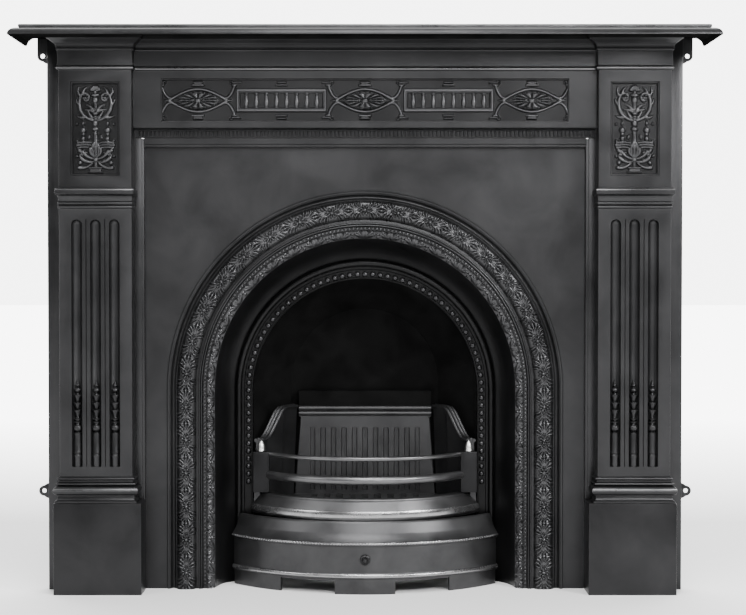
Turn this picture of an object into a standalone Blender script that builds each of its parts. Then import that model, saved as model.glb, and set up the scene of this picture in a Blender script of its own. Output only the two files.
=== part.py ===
# A cast-iron fireplace: a mantel surround standing round its arched insert, with grate and ash-pan cover.
# Metres, +Z up. The front faces -Y. Depths in y are taken from the face of the arched plate, and the root
# empty then carries everything so that the origin lies under the middle of the whole.

import math

import bmesh
import bpy
from mathutils import Vector

# General
clearance = 0.0003
draft = 0.0006
body_name = "cast_iron_fireplace"

# Arched plate
plate_width = 0.9654
plate_height = 0.9450
plate_thickness = 0.0100
arch_spring = 0.4230
arch_steps = 20

# Widths across the arch mouldings, from the mouth outwards, and their depths
mouth_radius = 0.2430
mouth_drop = 0.0110
lip_thickness = 0.0090
lip_depth = 0.0240
bead_band_width = 0.0190
bead_band_depth = 0.0880
bead_radius = 0.0066
ridge_gap = 0.0040
ridge_width = 0.0140
ridge_rise = 0.0100
cove_width = 0.0380
cove_front = 0.0120
cove_hollow = 0.0090
leaf_slope_width = 0.0160
bead_row_width = 0.0090
reed_width = 0.0090
reed_rise = 0.0060
reed_groove = 0.0050
foliage_width = 0.0410
foliage_rise = 0.0120
foliage_slope = 0.0080
cavetto_width = 0.0140
rim_width = 0.0060
rim_rise = 0.0050
foliage_pitch = 0.0700
wall = 0.0080

# Surround legs
surround_height = 1.1640
leg_face_width = 0.1510
leg_proud = 0.0620
leg_wall = 0.0080
leg_front_wall = 0.0180
flange_lap = 0.0195
flange_proud = 0.0120
outer_flange_width = 0.0330
plinth_height = 0.1910
plinth_outer_reach = 0.0120
plinth_front_reach = 0.0130
base_height = 0.0540
astragal_bottom = 0.7910
astragal_height = 0.0540
cornice_reach = 0.0270

# Flutes and the carved rods in them
flute_count = 3
flute_width = 0.0220
flute_pitch = 0.0390
flute_bottom = 0.2660
flute_top = 0.7790
fillet_groove = 0.0030
rod_radius = 0.0078
rod_top = 0.3410
carving_top = 0.4460

# Corner block panels
block_panel_width = 0.1020
block_panel_margin = 0.0240
block_panel_depth = 0.0090

# Fixing lugs
lug_reach = 0.0120
lug_radius = 0.0110
lug_hole = 0.0096
lug_thickness = 0.0060
lower_lug_height = 0.2070
upper_lug_drop = 0.0085

# Frieze
frieze_proud = 0.0400
frieze_wall = 0.0140
lintel_drop = 0.0130
lintel_joint = 0.0060
dentil_band_proud = 0.0220
frieze_panel_width = 0.8500
frieze_panel_depth = 0.0080
eye_spacing = 0.3480
eye_length = 0.1200
eye_height = 0.0500
eye_tablet_gap = 0.0070
frame_spacing = 0.3480
frame_length = 0.1880
frame_height = 0.0480
frame_tablet_gap = 0.0100
baluster_count = 8

# Rows above the lintel from the dentils to the cornice, each as tall as in the real model
dentil_band = 0.0190
panel_margin_below = 0.0120
frieze_panel_height = 0.0910
panel_margin_above = 0.0150
small_bead_row = 0.0090
cap_band = 0.0360
cornice_height = 0.0310

# Shelf
shelf_width = 1.4370
shelf_front = 0.1650
shelf_thickness = 0.0060
nose_height = 0.0155
nose_depth = 0.0180
shelf_edge = 0.0050

# Firebox
firebox_back = 0.2120
dome_top = 0.5880

# Fire back
back_panel_thickness = 0.0200
back_panel_bottom = 0.1500
back_panel_top = 0.3500
back_panel_top_width = 0.2880
back_panel_bottom_width = 0.3180
back_rail_top = 0.4060
back_rail_width = 0.2940
slot_count = 11
slot_pitch = 0.0234
slot_width = 0.0100
slot_depth = 0.0060
slot_bottom = 0.1850
slot_top = 0.3250

# Posts, bars and finials
post_middle = 0.2235
post_width = 0.0350
post_thickness = 0.0180
post_front = 0.0620
post_top = 0.2830
bar_bow = 0.1080
thin_bar_height = 0.2780
thin_bar_radius = 0.0040
thick_bar_height = 0.2330
thick_bar_radius = 0.0082
finial_height = 0.0240
finial_radius = 0.0085

# Cheeks
cheek_thickness = 0.0120
cheek_bottom = 0.1500
cheek_front_top = 0.3090
cheek_back_top = 0.3660
rail_overhang = 0.0030

# Front ledge
ledge_top = 0.1950
ledge_front_bottom = 0.1500
ledge_half_chord = 0.2480
ledge_bow = 0.1340
ledge_inner_half_chord = 0.1980
ledge_inner_bow = 0.1060

# Bottom grate
grate_top = 0.1770
grate_thickness = 0.0120
grate_slots = 9
grate_slot_width = 0.0140
grate_slot_pitch = 0.0280

# Ash-pan cover
cover_half_chord = 0.2820
cover_end = 0.0600
cover_bow = 0.1280
cover_thickness = 0.0060
cover_bottom = 0.0280
cover_face_top = 0.1080
rim_run = 0.0160
cover_foot_width = 0.1260
cover_side_foot = 0.1770
boss_radius = 0.0110
boss_height = 0.0720

# Values worked out from those above
leg_inner = plate_width / 2 + clearance
leg_outer = leg_inner + leg_face_width
leg_middle = (leg_inner + leg_outer) / 2
flange_outer = leg_outer + outer_flange_width
lintel_bottom = plate_height - lintel_drop
lintel_band_top = plate_height + lintel_joint
rows_height = (dentil_band + panel_margin_below + frieze_panel_height + panel_margin_above + small_bead_row + cap_band
               + cornice_height)
row_fit = (surround_height - lintel_band_top) / rows_height  # 1 where the rows fill the height as they are
dentil_band_top = lintel_band_top + dentil_band * row_fit
frieze_panel_bottom = dentil_band_top + panel_margin_below * row_fit
frieze_panel_top = frieze_panel_bottom + frieze_panel_height * row_fit
bead_bottom = frieze_panel_top + panel_margin_above * row_fit
cap_bottom = bead_bottom + small_bead_row * row_fit
cornice_bottom = cap_bottom + cap_band * row_fit
block_panel_bottom = astragal_bottom + astragal_height + block_panel_margin
block_panel_top = bead_bottom - block_panel_margin
upper_lug_height = cornice_bottom - upper_lug_drop
shelf_bottom = surround_height + clearance
shelf_top = shelf_bottom + shelf_thickness
bead_ring_radius = mouth_radius + bead_band_width / 2
band_outer = mouth_radius + bead_band_width
ridge_inner = band_outer + ridge_gap
cove_inner = ridge_inner + ridge_width
cove_outer = cove_inner + cove_width
slope_outer = cove_outer + leaf_slope_width
reed_inner = slope_outer + bead_row_width
reed_outer = reed_inner + reed_width
foliage_inner = reed_outer + reed_groove
foliage_outer = foliage_inner + foliage_width
rim_inner = foliage_outer + cavetto_width
rim_outer = rim_inner + rim_width
foliage_middle = (foliage_inner + foliage_outer) / 2
lip_back = bead_band_depth + lip_depth
ring_back = bead_band_depth + wall + 0.003
bead_front = bead_band_depth - bead_radius * 0.8
ledge_end = bead_front - clearance
back_panel_front = firebox_back - clearance - back_panel_thickness
grate_bottom = grate_top - grate_thickness
dome_half_width = back_panel_bottom_width / 2 + 0.0040
frieze_middle = (frieze_panel_bottom + frieze_panel_top) / 2
cover_rim_top = ledge_front_bottom - clearance


def make_material(name, colour, roughness, metallic):
    material = bpy.data.materials.new(name)
    material.use_nodes = True
    shader = material.node_tree.nodes["Principled BSDF"]
    shader.inputs["Base Color"].default_value = (*colour, 1.0)
    shader.inputs["Roughness"].default_value = roughness
    shader.inputs["Metallic"].default_value = metallic
    return material


def add_object(name, mesh, collection, material=None):
    obj = bpy.data.objects.new(name, mesh)
    collection.objects.link(obj)
    if material:
        mesh.materials.append(material)
    return obj


def guide_object(name, mesh, collection):
    # A cutter, or a form that is joined to a piece by a modifier
    obj = add_object(name, mesh, collection)
    obj.hide_render = True
    obj.display_type = "WIRE"
    return obj


def mesh_from_bmesh(name, bm):
    mesh = bpy.data.meshes.new(name)
    bmesh.ops.recalc_face_normals(bm, faces=bm.faces)
    if bm.calc_volume(signed=True) < 0:
        bmesh.ops.reverse_faces(bm, faces=bm.faces)
    bm.to_mesh(mesh)
    bm.free()
    return mesh


def box_mesh(name, low, high):
    bm = bmesh.new()
    bmesh.ops.create_cube(bm, size=1.0)
    for vert in bm.verts:
        for axis in range(3):
            share = vert.co[axis] + 0.5
            vert.co[axis] = low[axis] + share * (high[axis] - low[axis])
    return mesh_from_bmesh(name, bm)


def loft_mesh(name, loops):
    # A closed body through loops with the same number of points, capped at both ends
    bm = bmesh.new()
    rings = [[bm.verts.new(point) for point in loop] for loop in loops]
    for lower, upper in zip(rings, rings[1:]):
        for i in range(len(lower)):
            j = (i + 1) % len(lower)
            bm.faces.new((lower[i], lower[j], upper[j], upper[i]))
    bm.faces.new(reversed(rings[0]))
    bm.faces.new(rings[-1])
    return mesh_from_bmesh(name, bm)


def turned_mesh(name, profile, steps, place, axis="Z"):
    # Profile of (radius, height) from bottom to top, starting and ending on the axis
    bm = bmesh.new()
    rings = []
    for radius, height in profile:
        if radius < 1e-6:
            rings.append([bm.verts.new((0, 0, height))])
            continue
        turns = [2 * math.pi * (i + 0.5) / steps for i in range(steps)]
        rings.append([bm.verts.new((radius * math.cos(a), radius * math.sin(a), height)) for a in turns])
    for lower, upper in zip(rings, rings[1:]):
        for i in range(steps):
            j = (i + 1) % steps
            corners = [lower[i % len(lower)], lower[j % len(lower)], upper[j % len(upper)], upper[i % len(upper)]]
            bm.faces.new(list(dict.fromkeys(corners)))
    for vert in bm.verts:
        if axis == "Y":
            vert.co = Vector((vert.co.x, -vert.co.z, vert.co.y))
        vert.co += Vector(place)
    return mesh_from_bmesh(name, bm)


def join_forms(obj, forms, operation):
    # Cuts or joins all the forms of one collection with one modifier
    modifier = obj.modifiers.new(operation.title(), "BOOLEAN")
    modifier.operation = operation
    modifier.operand_type = "COLLECTION"
    modifier.collection = forms
    modifier.solver = "EXACT"


def tube_mesh(name, points, radius, collection, resolution=0):
    # A rod along the points, with closed ends, as a mesh that can be joined to a piece
    curve = bpy.data.curves.new(name, "CURVE")
    curve.dimensions = "3D"
    curve.bevel_depth = radius
    curve.bevel_resolution = resolution
    curve.use_fill_caps = True
    spline = curve.splines.new("POLY")
    spline.points.add(len(points) - 1)
    for target, point in zip(spline.points, points):
        target.co = (*point, 1.0)
    rod = bpy.data.objects.new(name, curve)
    collection.objects.link(rod)
    graph = bpy.context.evaluated_depsgraph_get()
    graph.update()
    mesh = bpy.data.meshes.new_from_object(rod.evaluated_get(graph))
    bpy.data.objects.remove(rod)
    bpy.data.curves.remove(curve)
    bm = bmesh.new()
    bm.from_mesh(mesh)
    bmesh.ops.remove_doubles(bm, verts=bm.verts, dist=1e-6)
    bpy.data.meshes.remove(mesh)
    return mesh_from_bmesh(name, bm)


def outline_mesh(name, outlines, thickness, place, collection):
    # A flat plate in the XZ plane; a second outline is a hole
    curve = bpy.data.curves.new(name, "CURVE")
    curve.dimensions = "2D"
    curve.fill_mode = "BOTH"
    curve.extrude = thickness / 2
    for outline in outlines:
        spline = curve.splines.new("POLY")
        spline.points.add(len(outline) - 1)
        spline.use_cyclic_u = True
        for target, (x, z) in zip(spline.points, outline):
            target.co = (x, z, 0.0, 1.0)
    flat = bpy.data.objects.new(name, curve)
    collection.objects.link(flat)
    graph = bpy.context.evaluated_depsgraph_get()
    graph.update()
    mesh = bpy.data.meshes.new_from_object(flat.evaluated_get(graph))
    bpy.data.objects.remove(flat)
    bpy.data.curves.remove(curve)
    bm = bmesh.new()
    bm.from_mesh(mesh)
    bmesh.ops.remove_doubles(bm, verts=bm.verts, dist=1e-6)
    for vert in bm.verts:
        x, z, y = vert.co
        vert.co = Vector((x, y, z)) + Vector(place)
    bpy.data.meshes.remove(mesh)
    return mesh_from_bmesh(name, bm)


def stud_mesh(name, middle, along, across, rise, sink=0.002):
    # A raised lozenge: a pyramid over four points round its middle, carried on down into its ground
    out = along.cross(across).normalized()
    if out.y > 0:
        out = -out
    spread = (rise + sink) / rise
    bm = bmesh.new()
    corners = []
    for arm in (along, across, -along, -across):
        corners.append(bm.verts.new(middle + arm * spread - out * sink))
    peak = bm.verts.new(middle + out * rise)
    for i in range(4):
        bm.faces.new((corners[i], corners[(i + 1) % 4], peak))
    bm.faces.new(reversed(corners))
    return mesh_from_bmesh(name, bm)


def half_round(bottom, height, base, reach, steps=4):
    # A bead or torus as (height, reach) points from bottom to top
    points = []
    for i in range(steps + 1):
        turn = math.pi * i / steps
        points.append((bottom + height / 2 * (1 - math.cos(turn)), base + reach * math.sin(turn)))
    return points


def base_moulding():
    z = plinth_height + draft
    points = [(z, 0.012), (z + 0.006, 0.008)]
    points += half_round(z + 0.016, 0.018, 0.004, 0.009, 3)
    points += [(z + 0.042, 0.0030), (z + 0.048, 0.0045), (z + base_height, 0.0)]
    return points


def astragal():
    z = astragal_bottom
    points = [(z, 0.0), (z + 0.012, 0.0050), (z + 0.025, 0.0040), (z + 0.038, 0.0110)]
    points += [(z + 0.042, 0.0150), (z + 0.050, 0.0150), (z + astragal_height, 0.0)]
    return points


def upper_moulding():
    # The small bead, the plain cap band and the cornice, shared by the legs and the frieze
    points = half_round(bead_bottom, 0.008 * row_fit, 0.0, 0.0045, 2)
    points += [(cap_bottom, 0.002), (cornice_bottom - 0.005 * row_fit, 0.002)]
    points.append((cornice_bottom - 0.004 * row_fit, 0.005))
    rise = surround_height - cornice_bottom
    for share_up, share_out in ((0.05, 0.20), (0.40, 0.36), (0.80, 0.95), (1.0, 1.0)):
        points.append((cornice_bottom + share_up * rise, cornice_reach * share_out))
    return points


def rectangle(z, x0, x1, y0, y1):
    return [(x0, y0, z), (x1, y0, z), (x1, y1, z), (x0, y1, z)]


def mirror_points(points, side):
    return [(side * x, y, z) for x, y, z in points]


def leg_levels():
    # Rectangles of (z, inner reach, outer reach, front reach) about the shaft, from the floor up
    levels = [(0.0, flange_lap, plinth_outer_reach, plinth_front_reach)]
    levels.append((plinth_height, flange_lap, plinth_outer_reach, plinth_front_reach))
    levels += [(z, reach, reach, reach) for z, reach in base_moulding()]
    levels += [(z, reach, reach, reach) for z, reach in astragal()]
    levels += [(z, reach, reach, reach) for z, reach in upper_moulding()]
    return levels


def flute_positions(side):
    return [side * (leg_middle + (i - (flute_count - 1) / 2) * flute_pitch) for i in range(flute_count)]


def flute_cutter(name, x, collection):
    radius = flute_width / 2
    profile = [(0.0, flute_bottom - 0.006), (radius, flute_bottom + 0.006), (radius, flute_top - radius)]
    profile += [(radius * 0.7, flute_top - radius * 0.3), (0.0, flute_top)]
    guide_object(name, turned_mesh(name, profile, 10, (x, -leg_proud, 0.0)), collection)


def carved_rod(name, x, collection):
    # The rod that fills the foot of a flute, with a ball, three husks and two beads above it
    radius = rod_radius
    husk = (carving_top - rod_top) * 0.165
    profile = [(0.0, flute_bottom - 0.004), (radius, flute_bottom - 0.004), (radius, rod_top - 0.004)]
    profile += [(radius * 0.7, rod_top), (radius * 1.1, rod_top + 0.008)]
    for i in range(3):
        foot = rod_top + 0.017 + i * husk
        profile += [(radius * 0.5, foot), (radius * 1.1, foot + husk * 0.85)]
    profile += [(radius * 0.35, carving_top - 0.026), (radius * 0.8, carving_top - 0.018), (0.0, carving_top)]
    place = (x, -leg_proud + flute_width * 0.37, 0.0)
    guide_object(name, turned_mesh(name, profile, 6, place), collection)


def spiral(middle, start_radius, end_radius, start, sweep, steps, depth):
    points = []
    for i in range(steps + 1):
        share = i / steps
        radius = start_radius + (end_radius - start_radius) * share
        turn = start + sweep * share
        points.append((middle[0] + radius * math.cos(turn), depth, middle[1] + radius * math.sin(turn)))
    return points


def block_relief(prefix, middle, collection):
    # An urn stem with scroll branches, pendant drops and a palmette, raised on the panel's ground
    ground = -leg_proud + block_panel_depth
    bottom = block_panel_bottom
    height = block_panel_top - block_panel_bottom
    width = block_panel_width

    def form(name, mesh):
        guide_object(prefix + name, mesh, collection)

    def up(share):
        return bottom + height * share

    stem = [(0.0, 0.02), (0.060, 0.10), (0.025, 0.15), (0.020, 0.40), (0.055, 0.44), (0.025, 0.48)]
    stem += [(0.060, 0.53), (0.022, 0.58), (0.022, 0.72), (0.065, 0.80), (0.022, 0.87), (0.060, 0.92), (0.0, 0.96)]
    profile = [(width * radius, up(share)) for radius, share in stem]
    form("stem", turned_mesh(prefix + "stem", profile, 6, (middle, ground + 0.001, 0.0)))
    low = (middle - width * 0.20, ground - 0.005, up(0.0) + 0.0006)
    form("foot", box_mesh(prefix + "foot", low, (middle + width * 0.20, ground + 0.002, up(0.045))))
    for hand in (-1, 1):
        tag = "left_" if hand < 0 else "right_"
        turn = 0.0 if hand > 0 else math.pi
        upper = spiral((middle + hand * width * 0.22, up(0.80)), width * 0.155, width * 0.05, -math.pi / 2,
                       hand * 1.6 * math.pi, 6, ground - 0.0005)
        upper = [(middle, ground - 0.0005, up(0.58))] + upper
        form(tag + "branch", tube_mesh(prefix + tag + "branch", upper, 0.0026, collection))
        lower = spiral((middle + hand * width * 0.26, up(0.24)), width * 0.13, width * 0.04, math.pi - turn,
                       -hand * 1.5 * math.pi, 5, ground - 0.0005)
        form(tag + "scroll", tube_mesh(prefix + tag + "scroll", lower, 0.0024, collection))
        rosette = [(0.0, -0.002), (0.0070, -0.002), (0.0, 0.0055)]
        spot = (middle + hand * width * 0.22, ground, up(0.80))
        form(tag + "rosette", turned_mesh(prefix + tag + "rosette", rosette, 6, spot, "Y"))
        drop = [(0.0, 0.34), (0.055, 0.38), (0.030, 0.41), (0.080, 0.47), (0.0, 0.58)]
        drop = [(width * radius, up(share)) for radius, share in drop]
        spot = (middle + hand * width * 0.27, ground + 0.001, 0.0)
        form(tag + "drop", turned_mesh(prefix + tag + "drop", drop, 6, spot))
        for i, (lean, reach) in enumerate(((0.6, 0.16), (1.3, 0.18))):
            away = Vector((hand * math.sin(lean), 0, math.cos(lean)))
            across = Vector((away.z, 0, -away.x)) * width * 0.042
            spot = Vector((middle, ground, up(0.10))) + away * width * (0.06 + reach)
            name = prefix + tag + "leaf_" + str(i)
            form(tag + "leaf_" + str(i), stud_mesh(name, spot, away * width * reach, across, 0.0045))


def build_leg(name, side, parts, cutters, material):
    adds = bpy.data.collections.new(name + "_forms")
    cuts = bpy.data.collections.new(name + "_cuts")
    cutters.children.link(adds)
    cutters.children.link(cuts)
    loops = []
    for z, inner, outer, front in leg_levels():
        loop = rectangle(z, leg_inner - inner, leg_outer + outer, -leg_proud - front, plate_thickness)
        loops.append(mirror_points(loop, side))
    leg = add_object(name, loft_mesh(name, loops), parts, material)

    def cut(label, low, high):
        xs = sorted((side * low[0], side * high[0]))
        mesh = box_mesh(name + label, (xs[0], low[1], low[2]), (xs[1], high[1], high[2]))
        guide_object(name + label, mesh, cuts)

    def join(label, low, high):
        xs = sorted((side * low[0], side * high[0]))
        mesh = box_mesh(name + label, (xs[0], low[1], low[2]), (xs[1], high[1], high[2]))
        guide_object(name + label, mesh, adds)

    beyond = plate_thickness + 0.01
    notch_top = plate_height + clearance
    cut("_notch", (leg_inner - 0.05, -clearance, -0.01), (leg_inner, beyond, notch_top))
    pocket_low = (leg_inner + leg_wall, -leg_proud + leg_front_wall, leg_wall)
    cut("_pocket", pocket_low, (leg_outer - leg_wall, beyond, surround_height - leg_wall))
    for i, x in enumerate(flute_positions(side)):
        flute_cutter(name + "_flute_" + str(i), x, cuts)
        carved_rod(name + "_rod_" + str(i), x, adds)
    for i in range(flute_count - 1):
        x = (flute_positions(side)[i] + flute_positions(side)[i + 1]) / 2
        half = fillet_groove / 2
        ends = []
        for z in (flute_bottom, flute_top):
            ends.append([(x - half, -leg_proud - half, z), (x, -leg_proud + half, z), (x + half, -leg_proud - half, z)])
        guide_object(name + "_groove_" + str(i), loft_mesh(name + "_groove", ends), cuts)
    middle = side * leg_middle
    half = block_panel_width / 2
    slope = block_panel_depth * 0.5
    panel = []
    for y, shrink in ((-leg_proud - 0.002, -0.001), (-leg_proud + block_panel_depth, slope)):
        left, right = middle - half + shrink, middle + half - shrink
        low, high = block_panel_bottom + shrink, block_panel_top - shrink
        panel.append([(left, y, low), (right, y, low), (right, y, high), (left, y, high)])
    guide_object(name + "_panel", loft_mesh(name + "_panel", panel), cuts)
    block_relief(name + "_relief_", middle, adds)
    flange_low = (leg_inner - flange_lap, -flange_proud, plinth_height - 0.002)
    join("_flange", flange_low, (leg_inner + 0.004, -clearance, lintel_band_top - 0.0015))
    outer_low = (leg_outer - 0.004, -flange_proud, 0.0)
    join("_outer_flange", outer_low, (flange_outer, plate_thickness, cornice_bottom + 0.012))
    join_forms(leg, cuts, "DIFFERENCE")
    join_forms(leg, adds, "UNION")
    return leg


def build_lug(name, side, height, parts, scrap, material):
    start = flange_outer + clearance
    middle = start + lug_reach
    outline = [(start, -lug_radius * 1.5), (start, lug_radius * 1.5)]
    for i in range(6):
        turn = math.pi / 3 - 2 * math.pi / 3 * i / 5
        outline.append((middle + lug_radius * math.cos(turn), lug_radius * math.sin(turn)))
    hole = []
    for i in range(8):
        turn = 2 * math.pi * (i + 0.5) / 8
        hole.append((middle + lug_hole / 2 * math.cos(turn), lug_hole / 2 * math.sin(turn)))
    outlines = [[(side * x, z) for x, z in points] for points in (outline, hole)]
    place = (0.0, plate_thickness - lug_thickness / 2, height)
    return add_object(name, outline_mesh(name, outlines, lug_thickness, place, scrap), parts, material)


def build_shelf(parts, cutters, material):
    half = shelf_width / 2
    nose_bottom = shelf_top - shelf_thickness - nose_height
    outline = []
    for i in range(5):
        turn = math.pi / 2 * i / 4
        outline.append((nose_bottom + nose_height * math.sin(turn), nose_depth * (1 - math.cos(turn))))
    outline += [(shelf_top - 0.0050, nose_depth + 0.0015), (shelf_top - 0.0044, nose_depth + 0.0005)]
    outline += [(shelf_top - 0.0015, nose_depth + 0.0015), (shelf_top, nose_depth + 0.0045)]
    loops = [rectangle(z, -half + inset, half - inset, -shelf_front + inset, plate_thickness) for z, inset in outline]
    shelf = add_object("mantel_shelf", loft_mesh("mantel_shelf", loops), parts, material)
    hollow = [(nose_bottom - 0.010, shelf_edge), (nose_bottom, shelf_edge)]
    hollow += [(nose_bottom + nose_height * 0.6, shelf_edge + nose_depth * 0.25)]
    hollow.append((shelf_bottom, shelf_edge + nose_depth * 0.9))
    beyond = plate_thickness + 0.01
    loops = [rectangle(z, -half + inset, half - inset, -shelf_front + inset, beyond) for z, inset in hollow]
    cuts = bpy.data.collections.new("mantel_shelf_cuts")
    cutters.children.link(cuts)
    guide_object("shelf_hollow", loft_mesh("shelf_hollow", loops), cuts)
    join_forms(shelf, cuts, "DIFFERENCE")
    return shelf


def bar_mesh(name, start, end, ground, width, rise):
    # A raised straight strip from one (x, z) point to another
    run = Vector((end[0] - start[0], 0, end[1] - start[1]))
    across = Vector((-run.z, 0, run.x)).normalized() * width / 2
    first = Vector((start[0], 0, start[1]))
    last = Vector((end[0], 0, end[1]))
    corners = [first - across, last - across, last + across, first + across]
    loops = [[(corner.x, y, corner.z) for corner in corners] for y in (ground + 0.002, ground - rise)]
    return loft_mesh(name, loops)


def tablet_mesh(name, x, z, length, height, ground, rise):
    low = (x - length / 2, ground - rise, z - height / 2)
    return box_mesh(name, low, (x + length / 2, ground + 0.002, z + height / 2))


def eye_outline(middle, half_length, half_height):
    points = []
    for hand in (1, -1):
        for i in range(6):
            share = hand * (i / 3 - 1)
            lift = hand * half_height * math.cos(share * math.pi / 2)
            points.append((middle + share * half_length, frieze_middle + lift))
    return points


def eye_forms(prefix, middle, ground, collection):
    # A pointed oval ring round a daisy, with a small tablet above and below it
    half_length = eye_length / 2
    half_height = eye_height / 2 * row_fit
    outlines = [eye_outline(middle, half_length, half_height)]
    outlines.append(eye_outline(middle, half_length - 0.0130, half_height - 0.0055))
    place = (0.0, ground - 0.0010, 0.0)
    ring = outline_mesh(prefix + "ring", outlines, 0.0060, place, collection)
    guide_object(prefix + "ring", ring, collection)
    for hand in (-1, 1):
        name = prefix + ("lower_tablet" if hand < 0 else "upper_tablet")
        z = frieze_middle + hand * (half_height + eye_tablet_gap * row_fit)
        mesh = tablet_mesh(name, middle, z, 0.0260, 0.0110 * row_fit, ground, 0.0047)
        guide_object(name, mesh, collection)
    petals = 8
    for i in range(petals):
        turn = 2 * math.pi * i / petals
        reach_x = half_length * 0.62 * math.cos(turn)
        reach_z = half_height * 0.66 * math.sin(turn)
        away = Vector((reach_x, 0, reach_z))
        across = Vector((-away.z, 0, away.x)).normalized() * 0.0028
        spot = Vector((middle, ground, frieze_middle)) + away * 0.62
        name = prefix + "petal_" + str(i)
        guide_object(name, stud_mesh(name, spot, away * 0.36, across, 0.0035, 0.0010), collection)
    button = [(0.0, -0.002), (0.0080, -0.002), (0.0, 0.0060)]
    place = (middle, ground, frieze_middle)
    guide_object(prefix + "button", turned_mesh(prefix + "button", button, 7, place, "Y"), collection)


def frame_forms(prefix, middle, ground, collection):
    # A sunk frame with a row of small balusters, and a tablet above and below it
    half_length = frame_length / 2
    half_height = frame_height / 2 * row_fit
    bar = 0.0050
    low, high = frieze_middle - half_height, frieze_middle + half_height
    sides = (("bottom", -half_length, half_length, low, low + bar), ("top", -half_length, half_length, high - bar, high),
             ("left", -half_length, -half_length + bar, low + bar / 2, high - bar / 2),
             ("right", half_length - bar, half_length, low + bar / 2, high - bar / 2))
    for label, x0, x1, z0, z1 in sides:
        mesh = box_mesh(prefix + label, (middle + x0, ground - 0.0050, z0), (middle + x1, ground + 0.002, z1))
        guide_object(prefix + label, mesh, collection)
    pitch = (frame_length - 4 * bar) / baluster_count
    for i in range(baluster_count):
        x = middle + (i - (baluster_count - 1) / 2) * pitch
        name = prefix + "baluster_" + str(i)
        up = Vector((0, 0, half_height - bar * 1.6))
        mesh = stud_mesh(name, Vector((x, ground, frieze_middle)), up, Vector((pitch * 0.30, 0, 0)), 0.0045)
        guide_object(name, mesh, collection)
    for hand in (-1, 1):
        z = frieze_middle + hand * (half_height + frame_tablet_gap * row_fit)
        name = prefix + "tablet" + str(hand)
        mesh = tablet_mesh(name, middle, z, 0.0260, 0.0080 * row_fit, ground, 0.0040)
        guide_object(name, mesh, collection)


def ribbon_forms(prefix, x, hand, ground, collection):
    # Two ribbons that part from the tip of an eye and end in small tablets at the panel's edges
    for lift in (-1, 1):
        name = prefix + ("low" if lift < 0 else "high")
        start = (x - hand * 0.004, frieze_middle - lift * 0.004)
        end = (x + hand * 0.021, frieze_middle + lift * 0.030)
        rise = 0.0030 + lift * 0.0003
        guide_object(name, bar_mesh(name, start, end, ground, 0.0050, rise), collection)
        mesh = tablet_mesh(name + "_end", end[0], end[1] + lift * 0.003, 0.0200, 0.0090, ground, 0.0042)
        guide_object(name + "_end", mesh, collection)


def build_frieze(parts, cutters, material):
    adds = bpy.data.collections.new("frieze_forms")
    cuts = bpy.data.collections.new("frieze_cuts")
    cutters.children.link(adds)
    cutters.children.link(cuts)
    half = leg_inner - clearance
    between = leg_inner - flange_lap - clearance
    band_bottom = lintel_band_top
    band_top = dentil_band_top
    levels = [(lintel_bottom, between, flange_proud), (band_bottom, between, flange_proud)]
    levels += [(band_bottom + draft, half, dentil_band_proud), (band_top - draft, half, dentil_band_proud)]
    levels.append((band_top, half, frieze_proud))
    levels += [(z, half - reach, frieze_proud + reach) for z, reach in upper_moulding()]
    loops = [rectangle(z, -x, x, -proud, plate_thickness) for z, x, proud in levels]
    frieze = add_object("frieze", loft_mesh("frieze", loops), parts, material)
    beyond = plate_thickness + 0.01
    notch = box_mesh("frieze_notch", (-half - 0.01, -clearance, lintel_bottom - 0.01),
                     (half + 0.01, beyond, plate_height + clearance))
    guide_object("frieze_notch", notch, cuts)
    pocket = box_mesh("frieze_pocket", (-half + frieze_wall, -frieze_proud + frieze_wall + 0.002, band_top + wall),
                      (half - frieze_wall, beyond, surround_height - frieze_wall))
    guide_object("frieze_pocket", pocket, cuts)
    panel = []
    slope = frieze_panel_depth * 0.4
    for y, shrink in ((-frieze_proud - 0.002, -0.001), (-frieze_proud + frieze_panel_depth, slope)):
        right = frieze_panel_width / 2 - shrink
        low, high = frieze_panel_bottom + shrink, frieze_panel_top - shrink
        panel.append([(-right, y, low), (right, y, low), (right, y, high), (-right, y, high)])
    guide_object("frieze_panel", loft_mesh("frieze_panel", panel), cuts)
    ground = -frieze_proud + frieze_panel_depth
    for i in range(3):
        x = (i - 1) * eye_spacing
        eye_forms("eye_" + str(i) + "_", x, ground, adds)
        for hand in (-1, 1):
            prefix = "ribbon_" + str(i) + ("_left_" if hand < 0 else "_right_")
            ribbon_forms(prefix, x + hand * eye_length / 2, hand, ground, adds)
    for i in range(2):
        frame_forms("frame_" + str(i) + "_", (i - 0.5) * frame_spacing, ground, adds)
    join_forms(frieze, cuts, "DIFFERENCE")
    join_forms(frieze, adds, "UNION")
    return frieze


def spring_at(radius):
    # The mouth is struck from a little below the outer arch, and the cove takes up the difference
    share = min(1.0, max(0.0, (radius - mouth_radius) / (cove_outer - mouth_radius)))
    return arch_spring - mouth_drop * (1 - share)


def arch_loop(radius, depth, start_height=0.0):
    # Points along the arch at one radius, from the left foot over the crown to the right foot
    spring = spring_at(radius)
    points = [(-radius, depth, start_height)]
    for i in range(arch_steps + 1):
        turn = math.pi - math.pi * i / arch_steps
        points.append((radius * math.cos(turn), depth, spring + radius * math.sin(turn)))
    points.append((radius, depth, start_height))
    return points


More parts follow.
